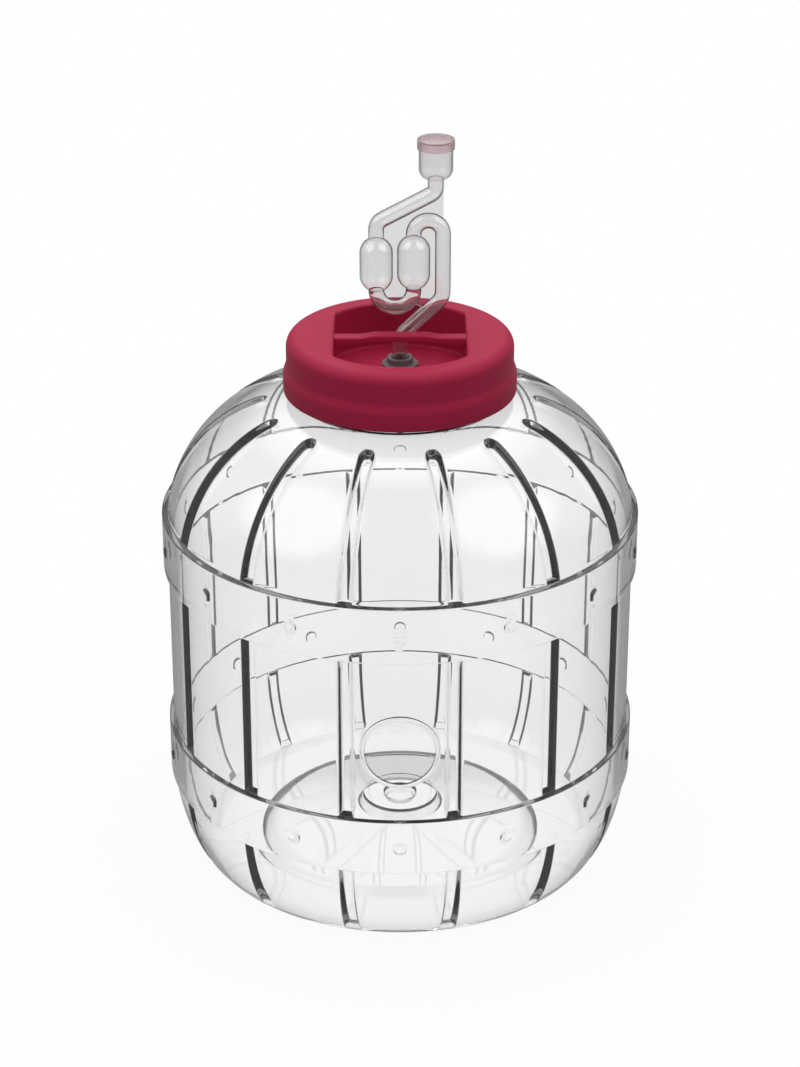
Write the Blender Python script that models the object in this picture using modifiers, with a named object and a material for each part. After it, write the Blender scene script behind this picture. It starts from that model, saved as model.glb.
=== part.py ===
"""A clear fermentation jar: a blow-moulded barrel, a screw lid with a sunken grip bar, and a bubbler airlock.

Metres, +Z up, front towards -Y. The origin is the middle of the base, on the surface that the jar stands on.
"""

import math
from collections import namedtuple

import bmesh
import bpy
from mathutils import Matrix

# Clearances and overruns
FIT_GAP = 0.0003
OVERRUN = 0.0020
MERGE = 0.00001

# Barrel: staves between two hoops
STAVE_COUNT = 14
WALL_RADIUS = 0.1353
HOOP_PROUD = 0.0027
HOOP_HEIGHT = 0.0344
HOOP_STEP_HEIGHT = 0.0008
LOW_HOOP_BOTTOM = 0.0509
HOOP_SPACING = 0.13285
GROOVE_WIDTH = 0.0100
GROOVE_FLOOR_WIDTH = 0.0036
GROOVE_DEPTH = 0.0033
GROOVE_RUN_OUT = 0.0040
BODY_WALL = 0.0016
RIVET_RADIUS = 0.0038
RIVET_RISE = 0.0014
RIVET_ROOT = 0.0005
RING_RADIUS = 0.0212
RING_BEAD_RADIUS = 0.0009
RING_HEIGHT_SHARE = 0.44

# Foot and base
TAPER_REACH = 0.0279
TAPER_CENTRE_HEIGHT = 0.0760
TAPER_RISE_SHARE = 1.05
HEEL_HEIGHT = 0.0009
HEEL_INSET = 0.0025
STANDING_WIDTH = 0.0300
DOME_HEIGHT = 0.0150
DOME_PAD_RADIUS = 0.0250
DOME_PAD_RISE = 0.0060
BASE_WALL = 0.0024

# Shoulder and neck
SPRING_BELOW_HOOP_TOP = 0.01325
SHOULDER_HEIGHT = 0.0824
SHOULDER_PROUD = 0.0006
CROWN_INSIDE_NECK = 0.0058
GROOVE_END_RADIUS = 0.0750
NECK_RADIUS = 0.0592
NECK_WALL = 0.0024
NECK_HEIGHT = 0.0306
NECK_FILLET = 0.0015

# Thread of the neck and lid
THREAD_STARTS = 2
THREAD_LEAD = 0.0120
THREAD_RIDGE_RADIUS = 0.00175
THREAD_STAND_OFF = 0.0002
THREAD_BELOW_RIM = 0.0120
NECK_THREAD_TURN_SHARE = 0.55
LID_THREAD_TURN_SHARE = 0.40

# Seal and lid
SEAL_THICKNESS = 0.0020
SEAL_INSET = 0.0004
SEAL_INNER_LAP = 0.0008
LID_NECK_GAP = 0.0030
LID_WALL = 0.00245
LID_TOP_THICKNESS = 0.0025
LID_ABOVE_CROWN = 0.00315
LID_EDGE_ROUNDING = 0.0066
LID_FLANGE_PROUD = 0.00185
LID_FLANGE_HEIGHT = 0.0105
LID_FLANGE_STEP = 0.0013
LID_LIP_ROUNDING = 0.0012

# Recess in the lid, and the bar across it
WELL_NECK_GAP = 0.0051
WELL_WALL = 0.0022
WELL_FLOOR = 0.0020
RECESS_HALF_WIDTH = 0.0372
RECESS_DEPTH = 0.0265
BAR_WIDTH = 0.0080
BAR_THICKNESS = 0.0036
BAR_END_THICKNESS = 0.0062
BAR_DIP = 0.0013
BAR_HUMP_HALF_LENGTH = 0.0140
BAR_HUMP_SLOPE = 0.0090

# Grommet behind the bar
STEM_BEHIND_BAR = 0.0170
GROMMET_FLANGE_RADIUS = 0.0105
GROMMET_FLANGE_THICKNESS = 0.0022
GROMMET_COLLAR_RADIUS = 0.0075
GROMMET_HEIGHT = 0.0060
GROMMET_PLUG_RADIUS = 0.0066
GROMMET_PLUG_TIP_RADIUS = 0.0060
GROMMET_PLUG_DEPTH = 0.0060

# Airlock: heights are above the floor of the recess, places are to the right of the stem
TUBE_RADIUS = 0.00455
TUBE_WALL = 0.00115
STEM_BELOW_FLOOR = 0.0116
STEM_TIP_INSET = 0.0005
STEM_TIP_HEIGHT = 0.0020
STEM_CORNER_HEIGHT = 0.0184
RISER_PLACE = 0.0242
RISER_SLANT_RISE = 0.0232
RISER_LENGTH = 0.03805
CORNER_REACH = 0.0045
BULB_RADIUS = 0.0095
BULB_WALL = 0.0009
BULB_LENGTH = 0.0323
BULB_END_GAP = 0.0004
BULB_GAP = 0.0021
RISER_BULB_GAP = 0.00245
SECOND_BULB_DROP = 0.0012
LEFT_CORNER_ABOVE_BULB = 0.00855
CUP_INSIDE_RISER = 0.0042
CUP_SLANT_RISE = 0.0179
CUP_CORNER_REACH = 0.0035
CUP_STEM_LENGTH = 0.0081
CUP_HEIGHT = 0.0213
CUP_RADIUS = 0.00965
CUP_WALL = 0.0010
CUP_BOWL_HEIGHT = 0.0060
WEB_THICKNESS = 0.0020
WEB_EDGE_BEYOND_CUP = 0.0044
WEB_LAP_SHARE = 0.72

# Cap over the cup
CAP_WALL = 0.0006
CAP_TOP_THICKNESS = 0.0012
CAP_SKIRT = 0.0043
CAP_EDGE_ROUNDING = 0.0005

# Fineness of the curved surfaces
LID_SEGMENTS = 64
SEAL_SEGMENTS = 48
GROMMET_SEGMENTS = 24
CAP_SEGMENTS = 32
RIVET_SEGMENTS = 8
RIVET_RINGS = 4
RING_SEGMENTS = 40
RING_SIDES = 6
ARC_STEPS = 4
BEND_STEPS = 6
CORNER_STEPS = 3
THREAD_STEPS_PER_TURN = 40
TAPER_STEPS = 4
SHOULDER_ANGLE_SHARES = (0.18, 0.38, 0.57, 0.75, 0.93)
DOME_SHARES = (0.25, 0.5, 0.75)
BULB_END_SHARES = (1.0, 0.62, 0.3, 0.0)
CUP_BOWL_SHARES = (0.0, 0.3, 0.6, 1.0)
STAVE_COLUMN_SHARES = (0.36, 0.64)
THREAD_END_SHARES = (0.3, 0.8)
SMOOTH_ANGLE = math.radians(35)

# Places worked out from the sizes
PITCH = 2 * math.pi / STAVE_COUNT
HOOP_RADIUS = WALL_RADIUS + HOOP_PROUD
HOOP_BOTTOMS = (LOW_HOOP_BOTTOM, LOW_HOOP_BOTTOM + HOOP_SPACING)
LOW_HOOP_TOP = HOOP_BOTTOMS[0] + HOOP_HEIGHT
HIGH_HOOP_TOP = HOOP_BOTTOMS[1] + HOOP_HEIGHT
RING_HEIGHT = LOW_HOOP_TOP + (HOOP_BOTTOMS[1] - LOW_HOOP_TOP) * RING_HEIGHT_SHARE
SPRING_HEIGHT = HIGH_HOOP_TOP - SPRING_BELOW_HOOP_TOP
CROWN_RADIUS = NECK_RADIUS - CROWN_INSIDE_NECK
CROWN_HEIGHT = SPRING_HEIGHT + SHOULDER_HEIGHT
SHOULDER_REACH = WALL_RADIUS + SHOULDER_PROUD - CROWN_RADIUS
RIM_HEIGHT = CROWN_HEIGHT + NECK_HEIGHT
SEAL_BOTTOM = RIM_HEIGHT + FIT_GAP
LID_CEILING = SEAL_BOTTOM + SEAL_THICKNESS + FIT_GAP
LID_TOP = LID_CEILING + LID_TOP_THICKNESS
LID_BOTTOM = CROWN_HEIGHT + LID_ABOVE_CROWN
LID_INNER_RADIUS = NECK_RADIUS + LID_NECK_GAP
WELL_RADIUS = NECK_RADIUS - NECK_WALL - WELL_NECK_GAP
WELL_HALF_WIDTH = RECESS_HALF_WIDTH + WELL_WALL
RECESS_RADIUS = WELL_RADIUS - WELL_WALL
RECESS_FLOOR = LID_TOP - RECESS_DEPTH
TOP_BEND_RADIUS = (BULB_RADIUS + RISER_BULB_GAP + TUBE_RADIUS) / 2
LOW_BEND_RADIUS = BULB_RADIUS + BULB_GAP / 2
FIRST_BULB_PLACE = RISER_PLACE - 2 * TOP_BEND_RADIUS
SECOND_BULB_PLACE = FIRST_BULB_PLACE - 2 * LOW_BEND_RADIUS
RISER_CORNER_HEIGHT = STEM_CORNER_HEIGHT + RISER_SLANT_RISE
TOP_BEND_HEIGHT = RISER_CORNER_HEIGHT + RISER_LENGTH
LOW_BEND_HEIGHT = TOP_BEND_HEIGHT - BULB_LENGTH - 2 * BULB_END_GAP
FIRST_BULB_HEIGHT = (TOP_BEND_HEIGHT + LOW_BEND_HEIGHT) / 2
SECOND_BULB_HEIGHT = FIRST_BULB_HEIGHT - SECOND_BULB_DROP
LEFT_CORNER_HEIGHT = SECOND_BULB_HEIGHT + BULB_LENGTH / 2 + LEFT_CORNER_ABOVE_BULB
CUP_PLACE = RISER_PLACE - CUP_INSIDE_RISER
CUP_CORNER_HEIGHT = LEFT_CORNER_HEIGHT + CUP_SLANT_RISE
CUP_BASE_HEIGHT = CUP_CORNER_HEIGHT + CUP_STEM_LENGTH
CUP_RIM_HEIGHT = CUP_BASE_HEIGHT + CUP_HEIGHT
WEB_LAP_PLACE = RISER_PLACE * WEB_LAP_SHARE

Row = namedtuple("Row", "radius height groove wall out")
Station = namedtuple("Station", "place height radius bore")


def clear_scene():
    for obj in list(bpy.data.objects):
        bpy.data.objects.remove(obj, do_unlink=True)
    for collection in list(bpy.data.collections):
        bpy.data.collections.remove(collection)


def new_collection(name):
    collection = bpy.data.collections.new(name)
    bpy.context.scene.collection.children.link(collection)
    return collection


def plastic(name, colour, roughness, transmission=0.0):
    material = bpy.data.materials.new(name)
    material.use_nodes = True
    shader = material.node_tree.nodes["Principled BSDF"]
    shader.inputs["Base Color"].default_value = (*colour, 1.0)
    shader.inputs["Roughness"].default_value = roughness
    shader.inputs["Metallic"].default_value = 0.0
    shader.inputs["Transmission Weight"].default_value = transmission
    material.diffuse_color = (*colour, 1.0)
    return material


def mesh_object(name, mesh, collection, material=None):
    obj = bpy.data.objects.new(name, mesh)
    collection.objects.link(obj)
    if material:
        mesh.materials.clear()
        mesh.materials.append(material)
    return obj


def as_cutter(obj):
    obj.hide_render = True
    obj.display_type = "WIRE"
    return obj


def boolean(obj, operation, other, use_self=False):
    """Joins or cuts. A bent tube's rings cross where it turns, and use_self lets the solver tidy them."""
    modifier = obj.modifiers.new(f"{operation.lower()} {other.name}", "BOOLEAN")
    modifier.operation = operation
    modifier.solver = "EXACT"
    modifier.use_self = use_self
    modifier.object = other


def shade(obj):
    obj.data.shade_smooth()
    obj.data.set_sharp_from_angle(angle=SMOOTH_ANGLE)


def turned(name, profile, segments, collection, material=None):
    """A closed profile of (radius, height) points, down its outer side, turned about the object's Z axis."""
    mesh = bpy.data.meshes.new(name)
    points = [(radius, 0, height) for radius, height in profile]
    edges = [(i, i + 1) for i in range(len(points) - 1)]
    if profile[0][0] > 0:
        edges.append((len(points) - 1, 0))
    mesh.from_pydata(points, edges, [])
    obj = mesh_object(name, mesh, collection, material)
    screw = obj.modifiers.new("turn", "SCREW")
    screw.steps = segments
    screw.render_steps = segments
    screw.use_merge_vertices = True
    screw.merge_threshold = MERGE
    screw.use_smooth_shade = True
    return obj


def mesh_from_curve(curve, collection):
    """Turns a curve object into a mesh object of the same name and place, with its caps welded on."""
    graph = bpy.context.evaluated_depsgraph_get()
    mesh = bpy.data.meshes.new_from_object(curve.evaluated_get(graph))
    bm = bmesh.new()
    bm.from_mesh(mesh)
    bmesh.ops.remove_doubles(bm, verts=bm.verts, dist=MERGE)
    bmesh.ops.recalc_face_normals(bm, faces=bm.faces)
    bm.to_mesh(mesh)
    bm.free()
    name = curve.name
    matrix = curve.matrix_world.copy()
    bpy.data.objects.remove(curve)
    obj = mesh_object(name, mesh, collection)
    obj.matrix_world = matrix
    return obj


def tube(name, route, sides_setting, collection, place=(0, 0, 0)):
    """A tube whose radius follows the route's (point, radius) pairs."""
    data = bpy.data.curves.new(name, "CURVE")
    data.dimensions = "3D"
    data.bevel_depth = 1.0
    data.bevel_resolution = sides_setting
    data.use_fill_caps = True
    spline = data.splines.new("POLY")
    spline.points.add(len(route) - 1)
    for target, (point, radius) in zip(spline.points, route):
        target.co = (*point, 1.0)
        target.radius = radius
    curve = bpy.data.objects.new(name, data)
    collection.objects.link(curve)
    curve.location = place
    bpy.context.view_layer.update()
    return mesh_from_curve(curve, collection)


def plate(name, outline, thickness, collection, place, upright=False):
    """A flat outline, filled and made this thick about its own plane, lying or standing in the XZ plane."""
    data = bpy.data.curves.new(name, "CURVE")
    data.dimensions = "2D"
    data.fill_mode = "BOTH"
    data.extrude = thickness / 2
    spline = data.splines.new("POLY")
    spline.points.add(len(outline) - 1)
    for target, (across, along) in zip(spline.points, outline):
        target.co = (across, along, 0, 1)
    spline.use_cyclic_u = True
    curve = bpy.data.objects.new(name, data)
    collection.objects.link(curve)
    curve.location = place
    if upright:
        curve.rotation_euler.x = math.pi / 2
    bpy.context.view_layer.update()
    return mesh_from_curve(curve, collection)


def arc(centre, radius, start, end, steps):
    """Points on an arc, with both ends."""
    angles = [start + (end - start) * i / steps for i in range(steps + 1)]
    return [(centre[0] + radius * math.cos(a), centre[1] + radius * math.sin(a)) for a in angles]


def taper_radius(height):
    """Radius of the staves below the lower hoop: part of an ellipse that is widest behind the hoop."""
    drop = (TAPER_CENTRE_HEIGHT - height) / (TAPER_CENTRE_HEIGHT * TAPER_RISE_SHARE)
    return HOOP_RADIUS - TAPER_REACH + TAPER_REACH * math.sqrt(max(1 - drop * drop, 0))


def base_rows():
    """The pushed-up middle of the base, from its centre out to the standing ring."""
    standing_inner = taper_radius(HEEL_HEIGHT) - HEEL_INSET - STANDING_WIDTH
    top = DOME_HEIGHT + DOME_PAD_RISE
    rows = [(0, top), (DOME_PAD_RADIUS - DOME_PAD_RISE / 2, top), (DOME_PAD_RADIUS, DOME_HEIGHT)]
    reach = standing_inner - DOME_PAD_RADIUS
    rows += [(DOME_PAD_RADIUS + share * reach, DOME_HEIGHT * (1 - share * share)) for share in DOME_SHARES]
    rows.append((standing_inner, 0))
    return [Row(radius, height, None, BASE_WALL, (1, 0)) for radius, height in rows]


def foot_rows():
    heel = taper_radius(HEEL_HEIGHT)
    rows = [Row(heel - HEEL_INSET, 0, 1, BASE_WALL, (1, 0)), Row(heel, HEEL_HEIGHT, 1, BASE_WALL, (1, 0))]
    run_out = LOW_HOOP_BOTTOM - GROOVE_RUN_OUT
    for i in range(1, TAPER_STEPS + 1):
        height = HEEL_HEIGHT + (run_out - HEEL_HEIGHT) * i / TAPER_STEPS
        rows.append(Row(taper_radius(height), height, 1, BODY_WALL, (1, 0)))
    rows.append(Row(taper_radius(LOW_HOOP_BOTTOM), LOW_HOOP_BOTTOM, 0, BODY_WALL, (1, 0)))
    return rows


def hoop_rows(bottom):
    """The smooth band of a hoop, up to where the staves start again."""
    top = bottom + HOOP_HEIGHT
    step = HOOP_STEP_HEIGHT
    places = ((HOOP_RADIUS, bottom + step), (HOOP_RADIUS, top - step), (WALL_RADIUS, top))
    return [Row(radius, height, 0, BODY_WALL, (1, 0)) for radius, height in places]


def stave_rows():
    high = HOOP_BOTTOMS[1]
    grooves = ((LOW_HOOP_TOP + GROOVE_RUN_OUT, 1), (high - GROOVE_RUN_OUT, 1), (high, 0))
    return [Row(WALL_RADIUS, height, groove, BODY_WALL, (1, 0)) for height, groove in grooves]


def shoulder_row(angle, groove, wall):
    radius = CROWN_RADIUS + SHOULDER_REACH * math.cos(angle)
    height = SPRING_HEIGHT + SHOULDER_HEIGHT * math.sin(angle)
    across = math.cos(angle) / SHOULDER_REACH
    up = math.sin(angle) / SHOULDER_HEIGHT
    length = math.hypot(across, up)
    return Row(radius, height, groove, wall, (across / length, up / length))


def shoulder_rows():
    """A quarter of an ellipse from the upper hoop to the neck. The grooves run out near its crown."""
    start = math.asin(SPRING_BELOW_HOOP_TOP / SHOULDER_HEIGHT)
    run_in = math.asin((SPRING_BELOW_HOOP_TOP + GROOVE_RUN_OUT) / SHOULDER_HEIGHT)
    end = math.acos((GROOVE_END_RADIUS - CROWN_RADIUS) / SHOULDER_REACH)
    neck = math.acos((CROWN_INSIDE_NECK + NECK_FILLET) / SHOULDER_REACH)
    rows = [shoulder_row(start, 0, BODY_WALL), shoulder_row(run_in, 1, BODY_WALL)]
    rows += [shoulder_row(run_in + (end - run_in) * share, 1, BODY_WALL) for share in SHOULDER_ANGLE_SHARES]
    rows.append(shoulder_row(end, 0, BODY_WALL))
    rows.append(shoulder_row(neck, None, NECK_WALL))
    return rows


def neck_rows():
    places = (CROWN_HEIGHT + NECK_FILLET, RIM_HEIGHT)
    return [Row(NECK_RADIUS, height, None, NECK_WALL, (1, 0)) for height in places]


def jar_rows():
    rows = base_rows() + foot_rows() + hoop_rows(HOOP_BOTTOMS[0]) + stave_rows()
    rows += hoop_rows(HOOP_BOTTOMS[1])[:-1]
    return rows + shoulder_rows() + neck_rows()


def jar_columns():
    """(place across, depth share) of the groove's columns, then shares of the pitch on the stave."""
    half = GROOVE_WIDTH / 2
    floor = GROOVE_FLOOR_WIDTH / 2
    return [(-half, 0), (-floor, 1), (floor, 1), (half, 0)] + [(share, None) for share in STAVE_COLUMN_SHARES]


def jar_point(row, column):
    """Where a grid point lies: the groove keeps its width at every radius, and plain rows have no groove."""
    columns = jar_columns()
    stave, index = divmod(column, len(columns))
    across, depth = columns[index]
    angle = (stave + 1 / 2) * PITCH - math.pi / 2
    if depth is None:
        angle += across * PITCH
        depth = 0
    elif row.groove is not None and row.radius > 0:
        angle += across / row.radius
    sink = GROOVE_DEPTH * depth * (row.groove or 0)
    radius = row.radius - sink * row.out[0]
    return radius * math.cos(angle), radius * math.sin(angle), row.height - sink * row.out[1]


def make_jar(collection, cutters, material):
    """A grid wrapped round the barrel and welded, which is made solid inwards."""
    rows = jar_rows()
    column_count = STAVE_COUNT * len(jar_columns())
    bm = bmesh.new()
    bmesh.ops.create_grid(bm, x_segments=column_count, y_segments=len(rows) - 1, size=1)
    thickest = max(row.wall for row in rows)
    layer = bm.verts.layers.deform.verify()
    for vert in bm.verts:
        column = round((vert.co.x + 1) / 2 * column_count)
        row = rows[round((vert.co.y + 1) / 2 * (len(rows) - 1))]
        vert.co = jar_point(row, column % column_count)
        vert[layer][0] = row.wall / thickest
    bmesh.ops.remove_doubles(bm, verts=bm.verts, dist=MERGE)
    mesh = bpy.data.meshes.new("jar")
    bm.to_mesh(mesh)
    bm.free()
    jar = mesh_object("jar", mesh, collection, material)
    jar.vertex_groups.new(name="wall")
    shell = jar.modifiers.new("skin", "SOLIDIFY")
    shell.thickness = thickest
    shell.offset = -1
    shell.use_even_offset = True
    shell.use_quality_normals = True
    shell.vertex_group = "wall"
    boolean(jar, "UNION", make_rivets(cutters))
    boolean(jar, "UNION", make_ring(cutters))
    for ridge in neck_thread(cutters):
        boolean(jar, "UNION", ridge)
    shade(jar)
    return jar


def make_rivets(cutters):
    """Shallow domes on both hoops, one on the middle facet of each stave, as one mesh of separate solids."""
    facet = PITCH * (STAVE_COLUMN_SHARES[1] - STAVE_COLUMN_SHARES[0])
    bm = bmesh.new()
    for bottom in HOOP_BOTTOMS:
        for stave in range(STAVE_COUNT):
            angle = stave * PITCH - math.pi / 2
            made = bmesh.ops.create_uvsphere(
                bm, u_segments=RIVET_SEGMENTS, v_segments=RIVET_RINGS, radius=RIVET_RADIUS
            )
            for vert in made["verts"]:
                across, up, out = vert.co
                out *= (RIVET_RISE if out > 0 else RIVET_ROOT) / RIVET_RADIUS
                radius = HOOP_RADIUS * math.cos(facet / 2) + out
                vert.co = (
                    radius * math.cos(angle) - across * math.sin(angle),
                    radius * math.sin(angle) + across * math.cos(angle),
                    bottom + HOOP_HEIGHT / 2 + up,
                )
    bmesh.ops.recalc_face_normals(bm, faces=bm.faces)
    mesh = bpy.data.meshes.new("rivet_domes")
    bm.to_mesh(mesh)
    bm.free()
    return as_cutter(mesh_object("rivet_domes", mesh, cutters))


def make_ring(cutters):
    """A plain raised ring on the front wall: a thin torus bent round the barrel and half sunk in it."""
    bm = bmesh.new()
    place = Matrix.Translation((RING_RADIUS, 0, 0)) @ Matrix.Rotation(math.pi / 2, 4, "X")
    bmesh.ops.create_circle(bm, segments=RING_SIDES, radius=RING_BEAD_RADIUS, matrix=place)
    geometry = bm.verts[:] + bm.edges[:]
    bmesh.ops.spin(bm, geom=geometry, axis=(0, 0, 1), angle=2 * math.pi, steps=RING_SEGMENTS, use_merge=True)
    for vert in bm.verts:
        across, up, out = vert.co
        angle = across / WALL_RADIUS - math.pi / 2
        radius = WALL_RADIUS + out
        vert.co = (radius * math.cos(angle), radius * math.sin(angle), RING_HEIGHT + up)
    bmesh.ops.recalc_face_normals(bm, faces=bm.faces)
    mesh = bpy.data.meshes.new("front_ring")
    bm.to_mesh(mesh)
    bm.free()
    return as_cutter(mesh_object("front_ring", mesh, cutters))


def ridge(name, radius, bottom, start, turn_share, cutters):
    """One start of a thread: a bead along a right-hand helix, thinned at both ends."""
    steps = round(THREAD_STEPS_PER_TURN * turn_share)
    route = []
    for i in range(steps + 1):
        angle = start + 2 * math.pi * turn_share * i / steps
        height = bottom + THREAD_LEAD * turn_share * i / steps
        from_end = min(i, steps - i)
        size = THREAD_END_SHARES[from_end] if from_end < len(THREAD_END_SHARES) else 1
        point = (radius * math.cos(angle), radius * math.sin(angle), height)
        route.append((point, THREAD_RIDGE_RADIUS * size))
    return as_cutter(tube(name, route, 1, cutters))


def thread(name, radius, bottom, turn_share, cutters):
    ridges = []
    for i in range(THREAD_STARTS):
        start = 2 * math.pi * i / THREAD_STARTS
        ridges.append(ridge(f"{name}_{i + 1}", radius, bottom, start, turn_share, cutters))
    return ridges


def neck_thread(cutters):
    bottom = RIM_HEIGHT - THREAD_BELOW_RIM
    return thread("neck_ridge", NECK_RADIUS + THREAD_STAND_OFF, bottom, NECK_THREAD_TURN_SHARE, cutters)


def lid_thread(cutters):
    """The lid's ridges run half way between those of the neck."""
    bottom = RIM_HEIGHT - THREAD_BELOW_RIM - THREAD_LEAD / THREAD_STARTS / 2
    return thread("lid_ridge", LID_INNER_RADIUS - THREAD_STAND_OFF, bottom, LID_THREAD_TURN_SHARE, cutters)


def lid_profile():
    wall = LID_INNER_RADIUS + LID_WALL
    flange = wall + LID_FLANGE_PROUD
    flange_top = LID_BOTTOM + LID_FLANGE_HEIGHT
    edge_centre = (wall - LID_EDGE_ROUNDING, LID_TOP - LID_EDGE_ROUNDING)
    edge = arc(edge_centre, LID_EDGE_ROUNDING, math.pi / 2, 0, ARC_STEPS)
    side = [(wall, flange_top + LID_FLANGE_STEP), (flange, flange_top)]
    lip_centre = (flange - LID_LIP_ROUNDING, LID_BOTTOM + LID_LIP_ROUNDING)
    lip = arc(lip_centre, LID_LIP_ROUNDING, 0, -math.pi / 2, 2)
    inside = [(LID_INNER_RADIUS, LID_BOTTOM), (LID_INNER_RADIUS, LID_CEILING), (0, LID_CEILING)]
    return [(0, LID_TOP)] + edge + side + lip + inside


def recess_outline(radius, half_width):
    """A circle with its left and right sides cut off straight."""
    corner = math.acos(min(half_width / radius, 1))
    steps = 3 * ARC_STEPS
    front = arc((0, 0), radius, corner - math.pi, -corner, steps)
    back = arc((0, 0), radius, corner, math.pi - corner, steps)
    return front + back


def slab(name, outline, bottom, top, collection):
    return plate(name, outline, top - bottom, collection, (0, 0, (top + bottom) / 2))


def bar_outline():
    """The grip bar from the front: its top dips on both sides of a middle hump, its underside is arched."""
    half = RECESS_HALF_WIDTH + WELL_WALL / 2
    slope_end = BAR_HUMP_HALF_LENGTH + BAR_HUMP_SLOPE
    right_top = [(BAR_HUMP_HALF_LENGTH, LID_TOP), (slope_end, LID_TOP - BAR_DIP), (half, LID_TOP - BAR_DIP)]
    sag = BAR_DIP + BAR_END_THICKNESS - BAR_THICKNESS
    under = []
    for i in range(-ARC_STEPS, ARC_STEPS + 1):
        share = i / ARC_STEPS
        under.append((half * share, LID_TOP - BAR_THICKNESS - sag * share * share))
    return under + right_top[::-1] + [(-across, up) for across, up in right_top]


def make_lid(collection, cutters, material):
    lid = turned("lid", lid_profile(), LID_SEGMENTS, collection, material)
    well_outline = recess_outline(WELL_RADIUS, WELL_HALF_WIDTH)
    hollow_outline = recess_outline(RECESS_RADIUS, RECESS_HALF_WIDTH)
    well_top = LID_CEILING + LID_TOP_THICKNESS / 2
    well_bottom = RECESS_FLOOR - WELL_FLOOR
    well = slab("recess_well", well_outline, well_bottom, well_top, cutters)
    hollow = slab("recess_hollow", hollow_outline, RECESS_FLOOR, LID_TOP + OVERRUN, cutters)
    bar = plate("grip_bar", bar_outline(), BAR_WIDTH, cutters, (0, 0, 0), upright=True)
    hole_radius = GROMMET_PLUG_RADIUS + FIT_GAP
    hole_top = RECESS_FLOOR + OVERRUN
    hole_bottom = well_bottom - OVERRUN
    hole_profile = [(0, hole_top), (hole_radius, hole_top), (hole_radius, hole_bottom), (0, hole_bottom)]
    hole = turned("grommet_hole", hole_profile, GROMMET_SEGMENTS, cutters)
    hole.location.y = STEM_BEHIND_BAR
    boolean(lid, "UNION", as_cutter(well))
    boolean(lid, "DIFFERENCE", as_cutter(hollow))
    boolean(lid, "UNION", as_cutter(bar))
    boolean(lid, "DIFFERENCE", as_cutter(hole))
    for bead in lid_thread(cutters):
        boolean(lid, "UNION", bead)
    return lid


def make_seal(collection, material):
    outer = LID_INNER_RADIUS - SEAL_INSET
    inner = NECK_RADIUS - NECK_WALL - SEAL_INNER_LAP
    top = SEAL_BOTTOM + SEAL_THICKNESS
    profile = [(outer, top), (outer, SEAL_BOTTOM), (inner, SEAL_BOTTOM), (inner, top)]
    return turned("lid_seal", profile, SEAL_SEGMENTS, collection, material)


def make_grommet(collection, material):
    """A flanged rubber bush. Its heights are above the floor of the recess, where its origin lies."""
    bore = TUBE_RADIUS + FIT_GAP
    seat = FIT_GAP
    flange_top = seat + GROMMET_FLANGE_THICKNESS
    tip = -GROMMET_PLUG_DEPTH
    profile = [
        (bore, GROMMET_HEIGHT),
        (GROMMET_COLLAR_RADIUS, GROMMET_HEIGHT),
        (GROMMET_COLLAR_RADIUS, flange_top),
        (GROMMET_FLANGE_RADIUS, flange_top),
        (GROMMET_FLANGE_RADIUS, seat),
        (GROMMET_PLUG_RADIUS, seat),
        (GROMMET_PLUG_RADIUS, -WELL_FLOOR),
        (GROMMET_PLUG_TIP_RADIUS, tip),
        (bore, tip),
    ]
    return turned("grommet", profile, GROMMET_SEGMENTS, collection, material)


def rounded_corner(before, corner, after, reach):
    """Points round a corner of the tube's middle line, starting and ending this far from it."""
    starts = []
    for other in (before, after):
        length = math.dist(other, corner)
        starts.append([c + (o - c) * reach / length for o, c in zip(other, corner)])
    points = []
    for i in range(CORNER_STEPS + 1):
        t = i / CORNER_STEPS
        weights = ((1 - t) ** 2, 2 * t * (1 - t), t * t)
        weighted = list(zip(weights, (starts[0], corner, starts[1])))
        points.append(tuple(sum(w * p[k] for w, p in weighted) for k in range(2)))
    return points


def bulb_stations(place, height, downwards):
    """A straight-sided bulb with round ends, on an upright stretch of tube."""
    half = BULB_LENGTH / 2 - BULB_RADIUS
    widest = math.acos(TUBE_RADIUS / BULB_RADIUS)
    upper = []
    for share in BULB_END_SHARES:
        angle = widest * share
        bore = (BULB_RADIUS - BULB_WALL) * math.cos(angle)
        up = height + half + BULB_RADIUS * math.sin(angle)
        upper.append(Station(place, up, BULB_RADIUS * math.cos(angle), max(bore, TUBE_RADIUS - TUBE_WALL)))
    lower = [station._replace(height=2 * height - station.height) for station in reversed(upper)]
    stations = upper + lower
    return stations if downwards else stations[::-1]


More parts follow.
